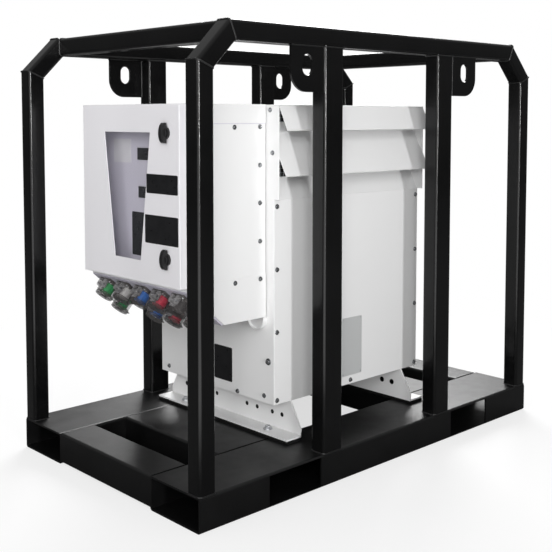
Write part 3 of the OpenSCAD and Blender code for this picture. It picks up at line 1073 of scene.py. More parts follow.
class TRANSFORMER_OT_enclosure(bpy.types.Operator):
    """Builds the enclosure's panels and top cover with their screws and the front's blank plate"""

    bl_idname = "transformer.enclosure"
    bl_label = "Enclosure"

    def execute(self, context):
        fold = settings().sheet.fold
        paint_node("enclosure_core", white_coat())
        paint_node("upper_section", white_coat())
        for end in ENDS:
            self.end_panel(end + "_end_panel")
        for side in SIDES:
            node = side + "_side_panel"
            dress(block(node + "_sheet", *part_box(node)), white_coat(), "powder_white", [node], edge=fold)
        cover = block("top_cover_sheet", *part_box("top_cover"))
        dress(cover, white_coat(), "powder_white", ["top_cover"], edge=fold)
        screws = scattered("enclosure_screws", screw_head(settings().sheet.screw), self.screw_spots())
        dress(screws, screw_steel(), "hinge_zinc")
        place = Vector((GROUND_BOLT_X, FRONT_Y, GROUND_BOLT_Z))
        dress(scattered("ground_bolt", screw_head(GROUND_BOLT_R), [(place, -Y)]), screw_steel(), "hinge_zinc")
        dress(*blank_plate("front_blank_plate", FRONT_PLATE, FRONT_Y))
        return {"FINISHED"}

    def end_panel(self, node):
        """A panel that is wider above the side panels than between them."""
        low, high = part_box(node)
        ledge_z = SIDE_HIGH.z
        panel = block(node + "_sheet", (-SIDE_HIGH.x, low.y, low.z), (SIDE_HIGH.x, high.y, ledge_z))
        fuse(panel, block("upper", (low.x, low.y, ledge_z), high))
        dress(panel, white_coat(), "powder_white", [node], edge=settings().sheet.fold)

    def screw_spots(self):
        """Spots on the two side panels and the two end panels."""
        spots = []
        for side in SIDES.values():
            face_x = side * SIDE_HIGH.x
            for z in SIDE_SCREW_ZS:
                spots += [(Vector((face_x, end * SIDE_SCREW_Y, z)), X * side) for end in ENDS.values()]
            spots.append((Vector((face_x, 0, SIDE_SCREW_ZS[-1])), X * side))
            for end in ENDS.values():
                spots += [(Vector((side * x, -end * FRONT_Y, z)), Y * end) for x, z in END_SCREWS]
        return spots


HOOD_SHEET = 3 * MM
HOOD_HEM = 2.2 * MM
UPPER_HOOD_DROP = 75 * MM
LOWER_HOOD_OUT = 31 * MM
LOWER_HOOD_RISE = 161 * MM
SCREEN_CELL = 13 * MM
SCREEN_WIRE = 2 * MM
SCREEN_BACK = 0.6 * MM
UPPER_SCREEN = 50 * MM
LOWER_SCREEN = 120 * MM


class TRANSFORMER_OT_vents(bpy.types.Operator):
    """Builds the sloping vent hoods and the wire screens behind them"""

    bl_idname = "transformer.vents"
    bl_label = "Vents"

    def execute(self, context):
        screen_low, screen_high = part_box("vent_screens")
        openings = (
            (screen_high.z - UPPER_SCREEN, screen_high.z),
            (screen_low.z, screen_low.z + LOWER_SCREEN),
        )
        upper_foot = (HOOD_HIGH.x, HOOD_HIGH.z - UPPER_HOOD_DROP)
        lower_top = (HOOD_LOW.x, HOOD_LOW.z + LOWER_HOOD_RISE)
        shade_backs = []
        wires = []
        for side, sign in SIDES.items():
            upper = self.hood(sign, (VENT_X, HOOD_HIGH.z), upper_foot)
            lower = self.hood(sign, lower_top, (VENT_X + LOWER_HOOD_OUT, HOOD_LOW.z))
            node = side + "_vent_hoods"
            hoods = joined(node + "_sheet", [upper, lower])
            dress(hoods, white_coat(), "powder_white", [node], edge=0.6 * MM)
            xs = span(sign, HOOD_LOW.x, HOOD_LOW.x + SCREEN_BACK)
            for low_z, high_z in openings:
                # Near-black sheets behind each wire screen paint the shade of the unlit inside
                shade_backs.append(block("vent_back", (xs[0], screen_low.y, low_z), (xs[1], screen_high.y, high_z)))
                wires.append(self.screen(sign, (screen_low.y, low_z), (screen_high.y, high_z)))
        dress(joined("vent_backs", shade_backs), dark_inside(), "vent_screen", ["vent_screens"])
        dress(joined("vent_wires", wires), zinc(), "vent_screen")
        return {"FINISHED"}

    def hood(self, sign, top, foot):
        """A sloping sheet from top to foot in X and Z, cut upright at its top and hemmed at its foot."""
        start = Vector((sign * top[0], 0, top[1]))
        stop = Vector((sign * foot[0], 0, foot[1]))
        slope = (stop - start).normalized()
        inward = Vector((sign * slope.z, 0, -sign * slope.x)) * HOOD_SHEET / 2
        length = HOOD_HIGH.y - HOOD_LOW.y
        hood = beam("hood", start + inward - slope * 2 * HOOD_SHEET, stop + inward, HOOD_SHEET, length)
        cut_off(hood, start, -X * sign)
        hem = drum("hem", (stop.x + inward.x, HOOD_LOW.y, stop.z + inward.z), Y, HOOD_HEM, length, 14)
        return fuse(hood, hem)

    def screen(self, sign, low, high):
        """A grid of wires that stands just off the opening between two corners in Y and Z."""
        width = high[0] - low[0]
        height = high[1] - low[1]
        stand = HOOD_LOW.x + SCREEN_BACK + SCREEN_WIRE / 2
        middle = (sign * stand, (low[0] + high[0]) / 2, (low[1] + high[1]) / 2)
        rest()
        bpy.ops.mesh.primitive_grid_add(
            x_subdivisions=round(height / SCREEN_CELL), y_subdivisions=round(width / SCREEN_CELL), size=1,
            rotation=(0, math.pi / 2, 0), location=middle)
        bpy.context.active_object.scale = (height, width, 1)
        grid = settled("vent_wire")
        return apply_modifier(grid, "WIREFRAME", thickness=SCREEN_WIRE, use_even_offset=False)


# Distribution box

# A black inset in the gap between the box's rear and the enclosure, painted shade of that gap line
SHADE_GAP = 4 * MM
SHADE_GAP_INSET = 8 * MM
BOX_SHEET = 3 * MM
BOX_REAR = FRONT_Y - SHADE_GAP
LID_SHEET = 1.2 * MM
LID_LOW_Z = 1112 * MM
# Height of the grey strip under the lid's edge, which paints the seam's shade line
SEAM_SHADE = 2 * MM
SKIRT_TOP_Z = 638 * MM
SLOPE_RUN = 130 * MM
SLOPE_DROP = 114 * MM
SLOPE = Vector((0, SLOPE_RUN, -SLOPE_DROP)).normalized()
SLOPE_OUT = Vector((0, -SLOPE_DROP, -SLOPE_RUN)).normalized()
SLOPE_TOP = Vector((0, COLLAR_LOW.y, BOX_LOW.z + SLOPE_DROP))
SILL_Z = 629 * MM
BOX_SCREWS = (
    mm(-386, 1101), mm(-386, 982), mm(-386, 864), mm(-386, 744), mm(-386, 625), mm(-490, 1100), mm(-490, 624),
)

# The cable hub's wall, the draft of its bore and the bore's depth, as shares of its radius and length
CABLE_HUB_WALL = 0.16
CABLE_HUB_DRAFT = 0.02
CABLE_HUB_BORE = 0.5


class TRANSFORMER_OT_distribution_box(bpy.types.Operator):
    """Builds the distribution box with its lid, skirt, a grey strip of painted seam shade under the lid, a
    black inset of painted gap shade behind it, cable hub and screws
    """

    bl_idname = "transformer.distribution_box"
    bl_label = "Distribution box"

    def execute(self, context):
        fold = settings().sheet.fold
        box = block("box_shell", (BOX_LOW.x, COLLAR_LOW.y, BOX_LOW.z), (BOX_HIGH.x, BOX_REAR, BOX_HIGH.z))
        cut_off(box, SLOPE_TOP, SLOPE_OUT)
        inside = BOX_HIGH.x - BOX_SHEET
        carve(box, block("recess", (-inside, COLLAR_LOW.y - BOX_SHEET, SILL_Z),
                         (inside, BOX_LOW.y, BOX_HIGH.z - BOX_SHEET)))
        dress(box, white_coat(), "powder_white", ["panel_box", "box_collar"], edge=fold)
        lid = block("box_lid", (BOX_LOW.x - LID_SHEET, COLLAR_LOW.y, LID_LOW_Z),
                    (BOX_HIGH.x + LID_SHEET, BOX_REAR, BOX_HIGH.z + LID_SHEET))
        open_faces(lid, -Y, -Z)
        dress(walled(lid, LID_SHEET), white_coat(), "powder_white", edge=0.3 * MM)
        self.skirt()
        self.lid_seal()
        # Black rubber block set back in the gap behind the box: painted shade of the gap line
        shade_gap_x = BOX_HIGH.x - SHADE_GAP_INSET
        shade_gap = block("box_gasket", (-shade_gap_x, BOX_REAR, BOX_LOW.z + SHADE_GAP_INSET),
                       (shade_gap_x, FRONT_Y, BOX_HIGH.z - SHADE_GAP_INSET))
        dress(shade_gap, pad_rubber(), "pad_rubber")
        screws = scattered("box_screws", screw_head(settings().sheet.screw), self.screw_spots())
        dress(screws, screw_steel(), "hinge_zinc")
        self.hub()
        return {"FINISHED"}

    def lid_seal(self):
        """A grey strip under the lid's edge on both sides, painted shade of the seam between lid and box."""
        beads = []
        for side in SIDES.values():
            xs = span(side, BOX_HIGH.x - SEAM_SHADE, BOX_HIGH.x + SEAM_SHADE / 4)
            beads.append(block("bead", (xs[0], COLLAR_LOW.y, LID_LOW_Z - SEAM_SHADE), (xs[1], BOX_REAR, LID_LOW_Z)))
        dress(joined("lid_seal", beads), plate_paint(), "plate_grey", edge=0.2 * MM)

    def screw_spots(self):
        """Spots on both sides of the box, on the skirt's face where they lie on the skirt."""
        spots = []
        for y, z in BOX_SCREWS:
            face_x = BOX_HIGH.x + (LID_SHEET if z < SKIRT_TOP_Z else 0)
            spots += [(Vector((side * face_x, y, z)), X * side) for side in SIDES.values()]
        return spots

    def skirt(self):
        """Side plates that carry the sloping connector face, a sheet proud of the box."""
        plates = []
        for side in SIDES.values():
            xs = span(side, BOX_HIGH.x, BOX_HIGH.x + LID_SHEET)
            plate = block("skirt_plate", (xs[0], COLLAR_LOW.y, BOX_LOW.z), (xs[1], BOX_REAR, SKIRT_TOP_Z))
            cut_off(plate, SLOPE_TOP, SLOPE_OUT)
            plates.append(plate)
        dress(joined("box_skirt", plates), white_coat(), "powder_white", edge=0.3 * MM)

    def hub(self):
        """A short round hub on the enclosure's front, cut where the box passes over it."""
        low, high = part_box("cable_hub")
        radius = (high.x - low.x) / 2
        length = high.y - low.y
        middle = Vector(((low.x + high.x) / 2, FRONT_Y, low.z + radius))
        hub = drum("cable_hub_ring", middle, -Y, radius, length, 48)
        sink_faces(hub, -Y, CABLE_HUB_WALL * radius, 0)
        sink_faces(hub, -Y, CABLE_HUB_DRAFT * radius, -CABLE_HUB_BORE * length)
        cut_off(hub, Vector((0, 0, high.z)), Z)
        dress(hub, white_coat(), "powder_white", ["cable_hub"], edge=0.8 * MM)


BREAKERS = ((mm(-52, 995), mm(43, 1035)), (mm(-48, 875), mm(31, 913)))
BREAKER_DEPTH = 8 * MM
BREAKER_GAP = 1 * MM
TOGGLE_SLOT = mm(12, 9)
TOGGLE = mm(7, 4)
DEAD_SCREW = 5 * MM
DEAD_SCREW_INSET = 14 * MM
CARD = (mm(-183, 985), mm(-86, 1061))
INNER_PLATE = (mm(-83, 691), mm(12, 830))


class TRANSFORMER_OT_dead_front(bpy.types.Operator):
    """Builds the dead front plate with its breakers, blank card, blank plate and screws"""

    bl_idname = "transformer.dead_front"
    bl_label = "Dead front"

    def execute(self, context):
        low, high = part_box("dead_front")
        plate = block("dead_front_plate", low, high)
        breakers = []
        for (x0, z0), (x1, z1) in BREAKERS:
            carve(plate, block("opening", (x0, low.y - BREAKER_DEPTH, z0), (x1, high.y + BREAKER_DEPTH, z1)))
            breakers.append(self.breaker(x0, z0, x1, z1, low.y, high.y))
        dress(plate, plate_paint(), "plate_grey", ["dead_front"], edge=0.5 * MM)
        dress(joined("breaker_faces", breakers), knob_plastic(), "latch_black", edge=0.8 * MM)
        (x0, z0), (x1, z1) = CARD
        card = block("blank_card", (x0, low.y - PLATE_SHEET, z0), (x1, low.y, z1))
        dress(card, card_paper(), "plug_white", edge=0.2 * MM)
        dress(*blank_plate("inner_blank_plate", INNER_PLATE, low.y))
        inset = DEAD_SCREW_INSET
        spots = [(Vector((x, low.y, z)), -Y) for x in (low.x + inset, high.x - inset)
                 for z in (low.z + inset, high.z - inset)]
        dress(scattered("dead_front_screws", screw_head(DEAD_SCREW), spots), zinc(), "hinge_zinc")
        return {"FINISHED"}

    def breaker(self, x0, z0, x1, z1, face_y, back_y):
        """A breaker's face in its opening, with a slot and a toggle that stands out of it."""
        gap = BREAKER_GAP
        body = block("breaker", (x0 + gap, face_y - gap, z0 + gap), (x1 - gap, back_y, z1 - gap))
        middle_x = (x0 + x1) / 2
        middle_z = (z0 + z1) / 2
        half_w, half_h = TOGGLE_SLOT
        carve(body, block("toggle_slot", (middle_x - half_w, face_y - 2 * gap, middle_z - half_h),
                          (middle_x + half_w, face_y + gap, middle_z + half_h)))
        half_w, half_h = TOGGLE
        toggle = block("toggle", (middle_x - half_w, face_y - BREAKER_DEPTH, middle_z - half_h),
                       (middle_x + half_w, face_y + 2 * gap, middle_z + half_h))
        return joined("breaker", [body, toggle])


# Connectors, each standing on its plate along Z before it is set in place

CONNECTOR_PLATE = 4 * MM
CONNECTOR_PITCH = 97 * MM
UPPER_ROW = 44 * MM
ROW_PITCH = 80 * MM
BASE_HALF = 32 * MM
BASE_L = 8 * MM
BASE_CORNER = 6 * MM
BASE_COLLAR = 3 * MM
BASE_SCREW = 3.6 * MM
BASE_SCREW_INSET = 5 * MM
BORE_GAP = 0.3 * MM
BARREL_R = 20 * MM
BARREL_END = 42 * MM
RING_OUT = 1.6 * MM
RING_L = 3 * MM
RING_DROP = 5 * MM
CAP_R = 29.5 * MM
CAP_L = 52 * MM
CAP_WALL = 2.2 * MM
CAP_RIM = 1.2 * MM
RIM_L = 3 * MM
RIM_DROP = 4 * MM
DISH_WALL = 4 * MM
DISH_DRAFT = 1 * MM
DISH_SUNK = 3 * MM
SPOKES = 6
SPOKE_IN = 4 * MM
SPOKE_HALF = 1.2 * MM
SPOKE_FOOT = 4 * MM
SPOKE_SUNK = 1.2 * MM
BOSS_R = 8 * MM
BOSS_D = 3.4 * MM
LUG_HALF = 15 * MM
LUG_SHEET = 5 * MM
LUG_OUT = 41 * MM
LUG_IN = 22 * MM
LUG_LOW = 5 * MM
LUG_HIGH = 33 * MM
LUG_ROUND = 6.5 * MM
LUG_GAP = 0.5 * MM
PIN_Y = 35 * MM
PIN_Z = 24 * MM
PIN_R = 3 * MM
PIN_OUT = 2 * MM
TAB_R = 5.5 * MM
TAB_WIRE = 2 * MM
POLES = {"ground": -2, "neutral": -1, "blue": 0, "red": 1, "black": 2}
POLE_NODES = {"ground": "ground_connectors", "neutral": "neutral_connector", "blue": "blue_connectors",
              "red": "red_connectors", "black": "black_connectors"}
POLE_SLOTS = {"ground": "plug_green", "neutral": "plug_white", "blue": "plug_blue", "red": "plug_red",
              "black": "plug_black"}


def pole_spots(pole):
    """The spots of one pole's connectors on the sloping plate, and the way out of it."""
    rows = (0,) if pole == "neutral" else (0, 1)
    column = SLOPE_TOP + X * POLES[pole] * CONNECTOR_PITCH + SLOPE_OUT * CONNECTOR_PLATE
    return [(column + SLOPE * (UPPER_ROW + row * ROW_PITCH), SLOPE_OUT) for row in rows]


class TRANSFORMER_OT_connectors(bpy.types.Operator):
    """Builds the coloured single-pole connectors with their bases and smoky caps"""

    bl_idname = "transformer.connectors"
    bl_label = "Connectors"

    def execute(self, context):
        paint_node("connector_plate", plate_paint())
        spots = []
        for pole in POLES:
            barrels = scattered(pole + "_poles", self.barrel(), pole_spots(pole))
            dress(barrels, pole_plastic(pole), POLE_SLOTS[pole], [POLE_NODES[pole]])
            spots += pole_spots(pole)
        dress(scattered("connector_bases", self.base(), spots), smoky_base(), "smoky_cap")
        dress(scattered("cap_ends", self.end(), spots), smoky_end(), "smoky_cap")
        dress(scattered("smoky_caps", self.cup(), spots), smoky_plastic(), "smoky_cap", ["connector_caps"])
        dress(scattered("cap_hinges", self.hinge(), spots), clear_lug(), "smoky_cap")
        dress(scattered("cap_pins", self.pin(), spots), zinc(), "hinge_zinc")
        reach = BASE_HALF - BASE_SCREW_INSET
        screws = [(place + X * side * reach + SLOPE * row * reach + out * BASE_L, out)
                  for place, out in spots for side, row in CORNERS]
        dress(scattered("base_screws", screw_head(BASE_SCREW), screws), zinc(), "hinge_zinc")
        return {"FINISHED"}

    def barrel(self):
        """A coloured barrel with two rings."""
        barrel = drum("barrel", (0, 0, 0), Z, BARREL_R, BARREL_END, 48)
        rings = [drum("ring", (0, 0, z), Z, BARREL_R + RING_OUT, RING_L, 48)
                 for z in (BASE_L, BARREL_END - RING_DROP)]
        return soften(fuse(barrel, *rings), 0.6 * MM)

    def base(self):
        """A square base with rounded corners and a collar that the cap shuts on."""
        base = block("base", (-BASE_HALF, -BASE_HALF, 0), (BASE_HALF, BASE_HALF, BASE_L))
        round_edges(base, Z, BASE_CORNER)
        fuse(base, drum("collar", (0, 0, 0), Z, CAP_R + CAP_RIM, BASE_L + BASE_COLLAR, 48))
        carve(base, drum("bore", (0, 0, -BASE_L), Z, BARREL_R + BORE_GAP, 4 * BASE_L, 48))
        return soften(base, 0.7 * MM)

    def cup(self):
        """The cap's clear wall between the base and its dark end."""
        cup = drum("cap", (0, 0, BASE_L), Z, CAP_R, BARREL_END - BASE_L, 48)
        open_faces(cup, Z, -Z)
        return walled(cup, CAP_WALL)

    def end(self):
        """The cap's dark end with its rims and a recessed face with spokes round a boss."""
        end = drum("cap_end", (0, 0, BARREL_END - CAP_RIM), Z, CAP_R, CAP_L - BARREL_END + CAP_RIM, 48)
        sink_faces(end, Z, DISH_WALL, 0)
        sink_faces(end, Z, DISH_DRAFT, -DISH_SUNK)
        rims = [drum("rim", (0, 0, z), Z, CAP_R + CAP_RIM, RIM_L, 48) for z in (BARREL_END, CAP_L - RIM_DROP)]
        fuse(end, *rims)
        spokes = []
        for index in range(SPOKES):
            spoke = block("spoke", (SPOKE_IN, -SPOKE_HALF, CAP_L - SPOKE_FOOT),
                          (CAP_R - DISH_WALL, SPOKE_HALF, CAP_L - SPOKE_SUNK))
            spoke.rotation_euler.z = index * math.tau / SPOKES
            spokes.append(spoke)
        boss = drum("boss", (0, 0, CAP_L - SPOKE_FOOT), Z, BOSS_R, BOSS_D, 32)
        return joined("cap_end", [soften(end, 0.5 * MM), *spokes, boss])

    def hinge(self):
        """The cap's clear hinge on its upper side, with cheeks, knuckle and arm, and a ring tab below."""
        cheeks = [block("cheek", (x, LUG_IN, LUG_LOW), (x + LUG_SHEET, LUG_OUT, LUG_HIGH))
                  for x in (-LUG_HALF, LUG_HALF - LUG_SHEET)]
        for cheek in cheeks:
            round_edges(cheek, X, LUG_ROUND, 5, lambda place: place.y > PIN_Y)
        inner = LUG_HALF - LUG_SHEET - LUG_GAP
        knuckle = drum("knuckle", (-inner, PIN_Y, PIN_Z), X, LUG_ROUND, 2 * inner, 24)
        arm = block("arm", (-inner, LUG_IN, PIN_Z - LUG_ROUND), (inner, PIN_Y - LUG_ROUND / 2, BARREL_END))
        rest()
        bpy.ops.mesh.primitive_torus_add(
            major_radius=TAB_R, minor_radius=TAB_WIRE, major_segments=24, minor_segments=10,
            location=(TAB_R, -CAP_R - TAB_WIRE, BARREL_END))
        tab = settled("tab")
        return joined("hinge", [soften(joined("hinge", [*cheeks, knuckle, arm]), 0.8 * MM), tab])

    def pin(self):
        """The hinge's pin, which stands out of both cheeks."""
        pin = drum("pin", (-LUG_HALF - PIN_OUT, PIN_Y, PIN_Z), X, PIN_R, 2 * LUG_HALF + 2 * PIN_OUT, 16)
        return soften(pin, 0.5 * MM)


# Door

DOOR_HALF = 257 * MM
DOOR_BACK_Y = -670 * MM
DOOR_SHEET = 3 * MM
DOOR_FOLD = 3.2 * MM
WINDOW_TOP_HALF = 123 * MM
WINDOW_LOW_HALF = 70 * MM
WINDOW_MIDDLE = -9 * MM
WINDOW_TOP_Z = 1085 * MM
WINDOW_LOW_Z = 694 * MM
KNUCKLE_R = 2.8 * MM
KNUCKLE_L = 30 * MM
HINGE_PITCH = 190 * MM
HINGE_GAP = 0.3 * MM
DOOR_PLATES = {
    "upper_blank_plate": (mm(95, 903), mm(249, 961)),
    "lower_blank_plate": (mm(86, 752), mm(250, 838)),
}


class TRANSFORMER_OT_door(bpy.types.Operator):
    """Builds the folded door with its window, hinge barrels and blank plates"""

    bl_idname = "transformer.door"
    bl_label = "Door"

    def execute(self, context):
        low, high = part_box("panel_door")
        middle_y = (low.y + DOOR_BACK_Y) / 2
        door = block("door_sheet", (-DOOR_HALF, low.y, low.z), (DOOR_HALF, DOOR_BACK_Y, high.z))
        for along in (Z, X):
            round_edges(door, along, DOOR_FOLD, 4, lambda place: place.y < middle_y)
        open_faces(door, Y)
        walled(door, DOOR_SHEET)
        carve(door, self.window(low.y))
        axis = Vector((low.x + KNUCKLE_R, DOOR_BACK_Y + KNUCKLE_R, (low.z + high.z) / 2 + HINGE_GAP))
        knuckles = [drum("knuckle", axis + Z * step * HINGE_PITCH, Z, KNUCKLE_R, KNUCKLE_L, 20)
                    for step in (-1, 0, 1)]
        dress(door, door_coat(), "door_grey", ["panel_door"], DOOR, edge=0.6 * MM)
        dress(joined("door_knuckles", knuckles), zinc(), "hinge_zinc", (), DOOR, edge=0.4 * MM)
        paint_node("door_window", clear_pane())
        paint_node("door_hinges", zinc())
        for name, corners in DOOR_PLATES.items():
            dress(*blank_plate(name, corners, low.y), body=DOOR)
        return {"FINISHED"}

    def window(self, front_y):
        """A wedge-sided cutter of the window's outline."""
        cutter = block("window", (WINDOW_MIDDLE - WINDOW_TOP_HALF, front_y - DOOR_SHEET, WINDOW_LOW_Z),
                       (WINDOW_MIDDLE + WINDOW_TOP_HALF, front_y + 2 * DOOR_SHEET, WINDOW_TOP_Z))
        height = WINDOW_TOP_Z - WINDOW_LOW_Z
        lean = Vector((height, 0, WINDOW_LOW_HALF - WINDOW_TOP_HALF)).normalized()
        for side in SIDES.values():
            corner = Vector((WINDOW_MIDDLE + side * WINDOW_TOP_HALF, front_y, WINDOW_TOP_Z))
            cut_off(cutter, corner, Vector((side * lean.x, 0, lean.z)))
        return cutter


LATCH_X = 195 * MM
LATCH_ZS = {"upper_latch": 1084 * MM, "lower_latch": 711 * MM}
LATCH_GAP = 0.3 * MM
LATCH_LAP = 1 * MM
COLLAR_R = 18.5 * MM
COLLAR_D = 7 * MM
HUB_R = 14 * MM
HUB_D = 8 * MM
WING_L = 60 * MM
WING_W = 19 * MM
WING_D = 17 * MM
WING_END = 2 * MM
WING_LEAN = 0.16
SHAFT_R = 5 * MM
SHAFT_L = 4 * MM


class TRANSFORMER_OT_latches(bpy.types.Operator):
    """Builds the two quarter-turn wing latches"""

    bl_idname = "transformer.latches"
    bl_label = "Latches"

    def execute(self, context):
        face_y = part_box("panel_door")[0].y
        for node, z in LATCH_ZS.items():
            place = Vector((LATCH_X, face_y - LATCH_GAP, z))
            latch = scattered(node + "_knob", self.knob(), [(place, -Y)])
            dress(latch, knob_plastic(), "latch_black", [node], node)
        return {"FINISHED"}

    def knob(self):
        """A collar, a hub and an arched wing along Y, standing on the origin along Z, with a shaft below."""
        foot_z = COLLAR_D - LATCH_LAP
        collar = drum("knob", (0, 0, 0), Z, COLLAR_R, COLLAR_D, 40)
        middle = Vector((0, 0, foot_z + WING_END))
        wing = drum("wing", middle - X * WING_W / 2, X, WING_L / 2, WING_W, 48)
        rise = (COLLAR_D + WING_D - middle.z) / (WING_L / 2)
        choose(wing, "FACE", everywhere)
        bpy.ops.transform.resize(value=(1, 1, rise), center_override=middle)
        close_edit()
        cut_off(wing, Vector((0, 0, foot_z)), -Z)
        for side in SIDES.values():
            cut_off(wing, Vector((side * WING_W / 2, 0, foot_z)), Vector((side, 0, WING_LEAN)))
        hub = drum("hub", (0, 0, foot_z), Z, HUB_R, HUB_D, 40)
        shaft = drum("shaft", (0, 0, -SHAFT_L), Z, SHAFT_R, SHAFT_L + LATCH_LAP, 24)
        return soften(fuse(collar, hub, wing, shaft), 1.1 * MM, 3)


NAME_PLATE = (mm(-43, 252), mm(57, 452))
RIVET_INSET = 6 * MM
RIVET_R = 2.4 * MM
RIVET_D = 1.3 * MM
RIVET_ROUND = 0.6 * MM


class TRANSFORMER_OT_name_plate(bpy.types.Operator):
    """Builds the blank metal plate on the right side panel"""

    bl_idname = "transformer.name_plate"
    bl_label = "Name plate"

    def execute(self, context):
        (y0, z0), (y1, z1) = NAME_PLATE
        face_x = SIDE_HIGH.x
        plate = block("blank_name_plate", (face_x, y0, z0), (face_x + PLATE_SHEET, y1, z1))
        round_edges(plate, X, PLATE_CORNER)
        dress(plate, brushed_plate(), "hinge_zinc")
        corners = [(Vector((face_x + PLATE_SHEET, y, z)), X) for y in (y0 + RIVET_INSET, y1 - RIVET_INSET)
                   for z in (z0 + RIVET_INSET, z1 - RIVET_INSET)]
        rivet = soften(drum("rivet", (0, 0, 0), Z, RIVET_R, RIVET_D, 16), RIVET_ROUND, 3)
        dress(scattered("plate_rivets", rivet, corners), zinc(), "hinge_zinc")
        return {"FINISHED"}


# Stage

# Each light's azimuth from the door's side to the right and its height, in degrees, and its size
LIGHTS = {
    "key": (47, 18, (3.1, 3.1)),
    "side": (73, 4, (0.6, 0.6)),
    "fill": (12, 18, (2.7, 3.5)),
    "back": (222, 34, (4.3, 4.3)),
}
LIGHT_AIM = Vector((0, 0, 0.7))
LIGHT_REACH = 9
CAMERA_AZIMUTH = math.radians(46.62)
CAMERA_PITCH = math.radians(3.8)

# The floor as it lights the object: dim, with a bright field on the camera's side.
# The field fades in between two cosines of the angle from that side, and between two distances.
FLOOR_SIZE = 80
FLOOR_DIM = (0.12, 0.12, 0.12, 1)
FIELD_COSINES = (0.75, 0.97)
FIELD_REACH = (1.4, 2.0)

# The floor as the camera sees it: its share of plain white near the object and far off,
# and the distances between which that changes
WHITE_SHARE = (0.68, 1)
WHITE_REACH = (0.8, 2.2)

# The sky as it lights the object, from just under the horizon to overhead
SKY_START = -0.1
SKY_DIM = 0.02
SKY_BRIGHT = 0.6


def show_camera(tree, seen, other, output):
    """Leads one shader to the camera's rays and another to all other rays."""
    path = add_node(tree, "ShaderNodeLightPath").outputs["Is Camera Ray"]
    mix = add_node(tree, "ShaderNodeMixShader", path, other.outputs[0], seen.outputs[0])
    tree.links.new(mix.outputs[0], tree.nodes[output].inputs["Surface"])


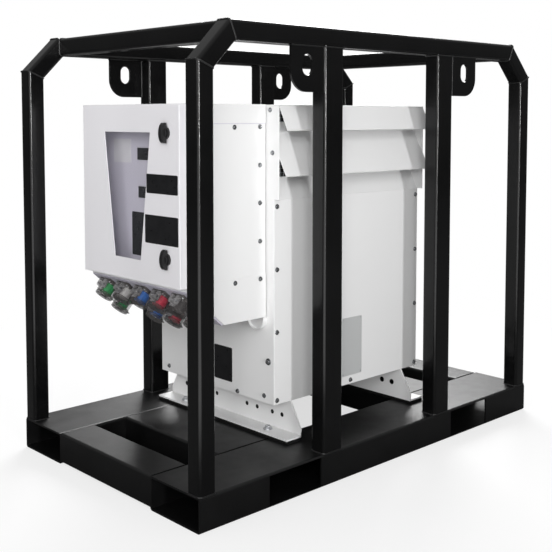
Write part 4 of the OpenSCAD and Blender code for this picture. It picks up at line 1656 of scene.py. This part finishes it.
class TRANSFORMER_OT_stage(bpy.types.Operator):
    """Sets the pale floor, the soft light and the camera"""

    bl_idname = "transformer.stage"
    bl_label = "Stage"

    def execute(self, context):
        look = settings().studio
        self.floor(look)
        self.sky(context.scene)
        for name, (azimuth, height, size) in LIGHTS.items():
            self.softbox(name + "_light", azimuth, height, size, getattr(look, name))
        self.camera(context.scene, look)
        context.scene.view_settings.view_transform = "Standard"
        return {"FINISHED"}

    def floor(self, look):
        """A floor that takes soft shadows near the object and is white farther off.

        It throws light back from a bright field before the camera alone.
        """
        rest()
        bpy.ops.mesh.primitive_plane_add(size=FLOOR_SIZE)
        floor = settled("floor")
        finish = Finish("pale_floor", look.floor, 0.9)
        finish.set("Specular IOR Level", 0)
        tree = finish.tree
        reach = add_node(tree, "ShaderNodeVectorMath", finish.place, operation="LENGTH").outputs["Value"]
        ahead = add_node(tree, "ShaderNodeVectorMath", finish.place, operation="NORMALIZE").outputs["Vector"]
        field = add_node(tree, "ShaderNodeVectorMath", ahead, operation="DOT_PRODUCT")
        field.inputs[1].default_value = Vector((look.camera[0], look.camera[1], 0)).normalized()
        turned = finish.spread(field.outputs["Value"], 0, look.bounce, *FIELD_COSINES)
        beyond = finish.spread(reach, 0, 1, *FIELD_REACH)
        glow = add_node(tree, "ShaderNodeMath", turned, beyond, operation="MULTIPLY")
        bright = add_node(tree, "ShaderNodeEmission")
        tree.links.new(glow.outputs["Value"], bright.inputs["Strength"])
        dim = add_node(tree, "ShaderNodeBsdfDiffuse")
        set_sockets(dim, {"Color": FLOOR_DIM})
        unseen = add_node(tree, "ShaderNodeAddShader", dim.outputs[0], bright.outputs[0])
        share = finish.spread(reach, *WHITE_SHARE, *WHITE_REACH)
        white = add_node(tree, "ShaderNodeEmission")
        seen = add_node(tree, "ShaderNodeMixShader", share, finish.shader.outputs[0], white.outputs[0])
        show_camera(tree, seen, unseen, "Material Output")
        floor.data.materials.append(finish.material)

    def sky(self, scene):
        """White behind the object, and as light a dim sky that is brighter overhead."""
        world = bpy.data.worlds.new("studio")
        world.use_nodes = True
        tree = world.node_tree
        light = tree.nodes["Background"]
        backdrop = add_node(tree, "ShaderNodeBackground")
        for each in (light, backdrop):
            set_sockets(each, {"Color": (1, 1, 1, 1)})
        direction = add_node(tree, "ShaderNodeTexCoord").outputs["Generated"]
        upward = add_node(tree, "ShaderNodeVectorMath", direction, operation="DOT_PRODUCT")
        upward.inputs[1].default_value = Z
        strength = add_node(tree, "ShaderNodeMapRange", upward.outputs["Value"])
        set_sockets(strength, {"From Min": SKY_START, "To Min": SKY_DIM, "To Max": SKY_BRIGHT})
        tree.links.new(strength.outputs["Result"], light.inputs["Strength"])
        show_camera(tree, backdrop, light, "World Output")
        scene.world = world

    def softbox(self, name, azimuth, height, size, power):
        """A rectangular light that faces the object."""
        turn = math.radians(azimuth)
        rise = math.radians(height)
        way = Vector((math.sin(turn) * math.cos(rise), -math.cos(turn) * math.cos(rise), math.sin(rise)))
        rest()
        bpy.ops.object.light_add(
            type="AREA", location=LIGHT_AIM + way * LIGHT_REACH,
            rotation=(-way).to_track_quat("-Z", "Y").to_euler())
        lamp = bpy.context.active_object
        lamp.name = name
        lamp.data.shape = "RECTANGLE"
        lamp.data.size, lamp.data.size_y = size
        lamp.data.energy = power

    def camera(self, scene, look):
        """The camera that the photo was taken with, as solved on the frame's corners."""
        rest()
        bpy.ops.object.camera_add(
            location=look.camera, rotation=(math.pi / 2 - CAMERA_PITCH, 0, CAMERA_AZIMUTH))
        camera = bpy.context.active_object
        camera.data.lens = look.lens
        camera.data.shift_y = look.shift
        scene.camera = camera


STEPS = (
    TRANSFORMER_OT_skid, TRANSFORMER_OT_lifting_frame, TRANSFORMER_OT_welds, TRANSFORMER_OT_lifting_eyes,
    TRANSFORMER_OT_feet, TRANSFORMER_OT_enclosure, TRANSFORMER_OT_vents, TRANSFORMER_OT_distribution_box,
    TRANSFORMER_OT_dead_front, TRANSFORMER_OT_connectors, TRANSFORMER_OT_door, TRANSFORMER_OT_latches,
    TRANSFORMER_OT_name_plate, TRANSFORMER_OT_stage,
)


class TRANSFORMER_PT_build(bpy.types.Panel):
    """Lists the steps that build the transformer"""

    bl_idname = "TRANSFORMER_PT_build"
    bl_label = "Transformer"
    bl_space_type = "VIEW_3D"
    bl_region_type = "UI"
    bl_category = "Transformer"

    def draw(self, context):
        for step in STEPS:
            self.layout.operator(step.bl_idname)


CLASSES = (
    TubeSettings, SheetSettings, PoleSettings, StudioSettings, TransformerSettings,
    *STEPS, TRANSFORMER_PT_build,
)


def register():
    """Registers the classes and gives the scene its settings."""
    for each in CLASSES:
        bpy.utils.register_class(each)
    bpy.types.Scene.transformer = PointerProperty(type=TransformerSettings)


def unregister():
    """Takes the settings and the classes away again."""
    del bpy.types.Scene.transformer
    for each in reversed(CLASSES):
        bpy.utils.unregister_class(each)


def main():
    """Runs all steps in order."""
    register()
    for step in STEPS:
        group, name = step.bl_idname.split(".")
        getattr(getattr(bpy.ops, group), name)()


if __name__ == "__main__":
    main()
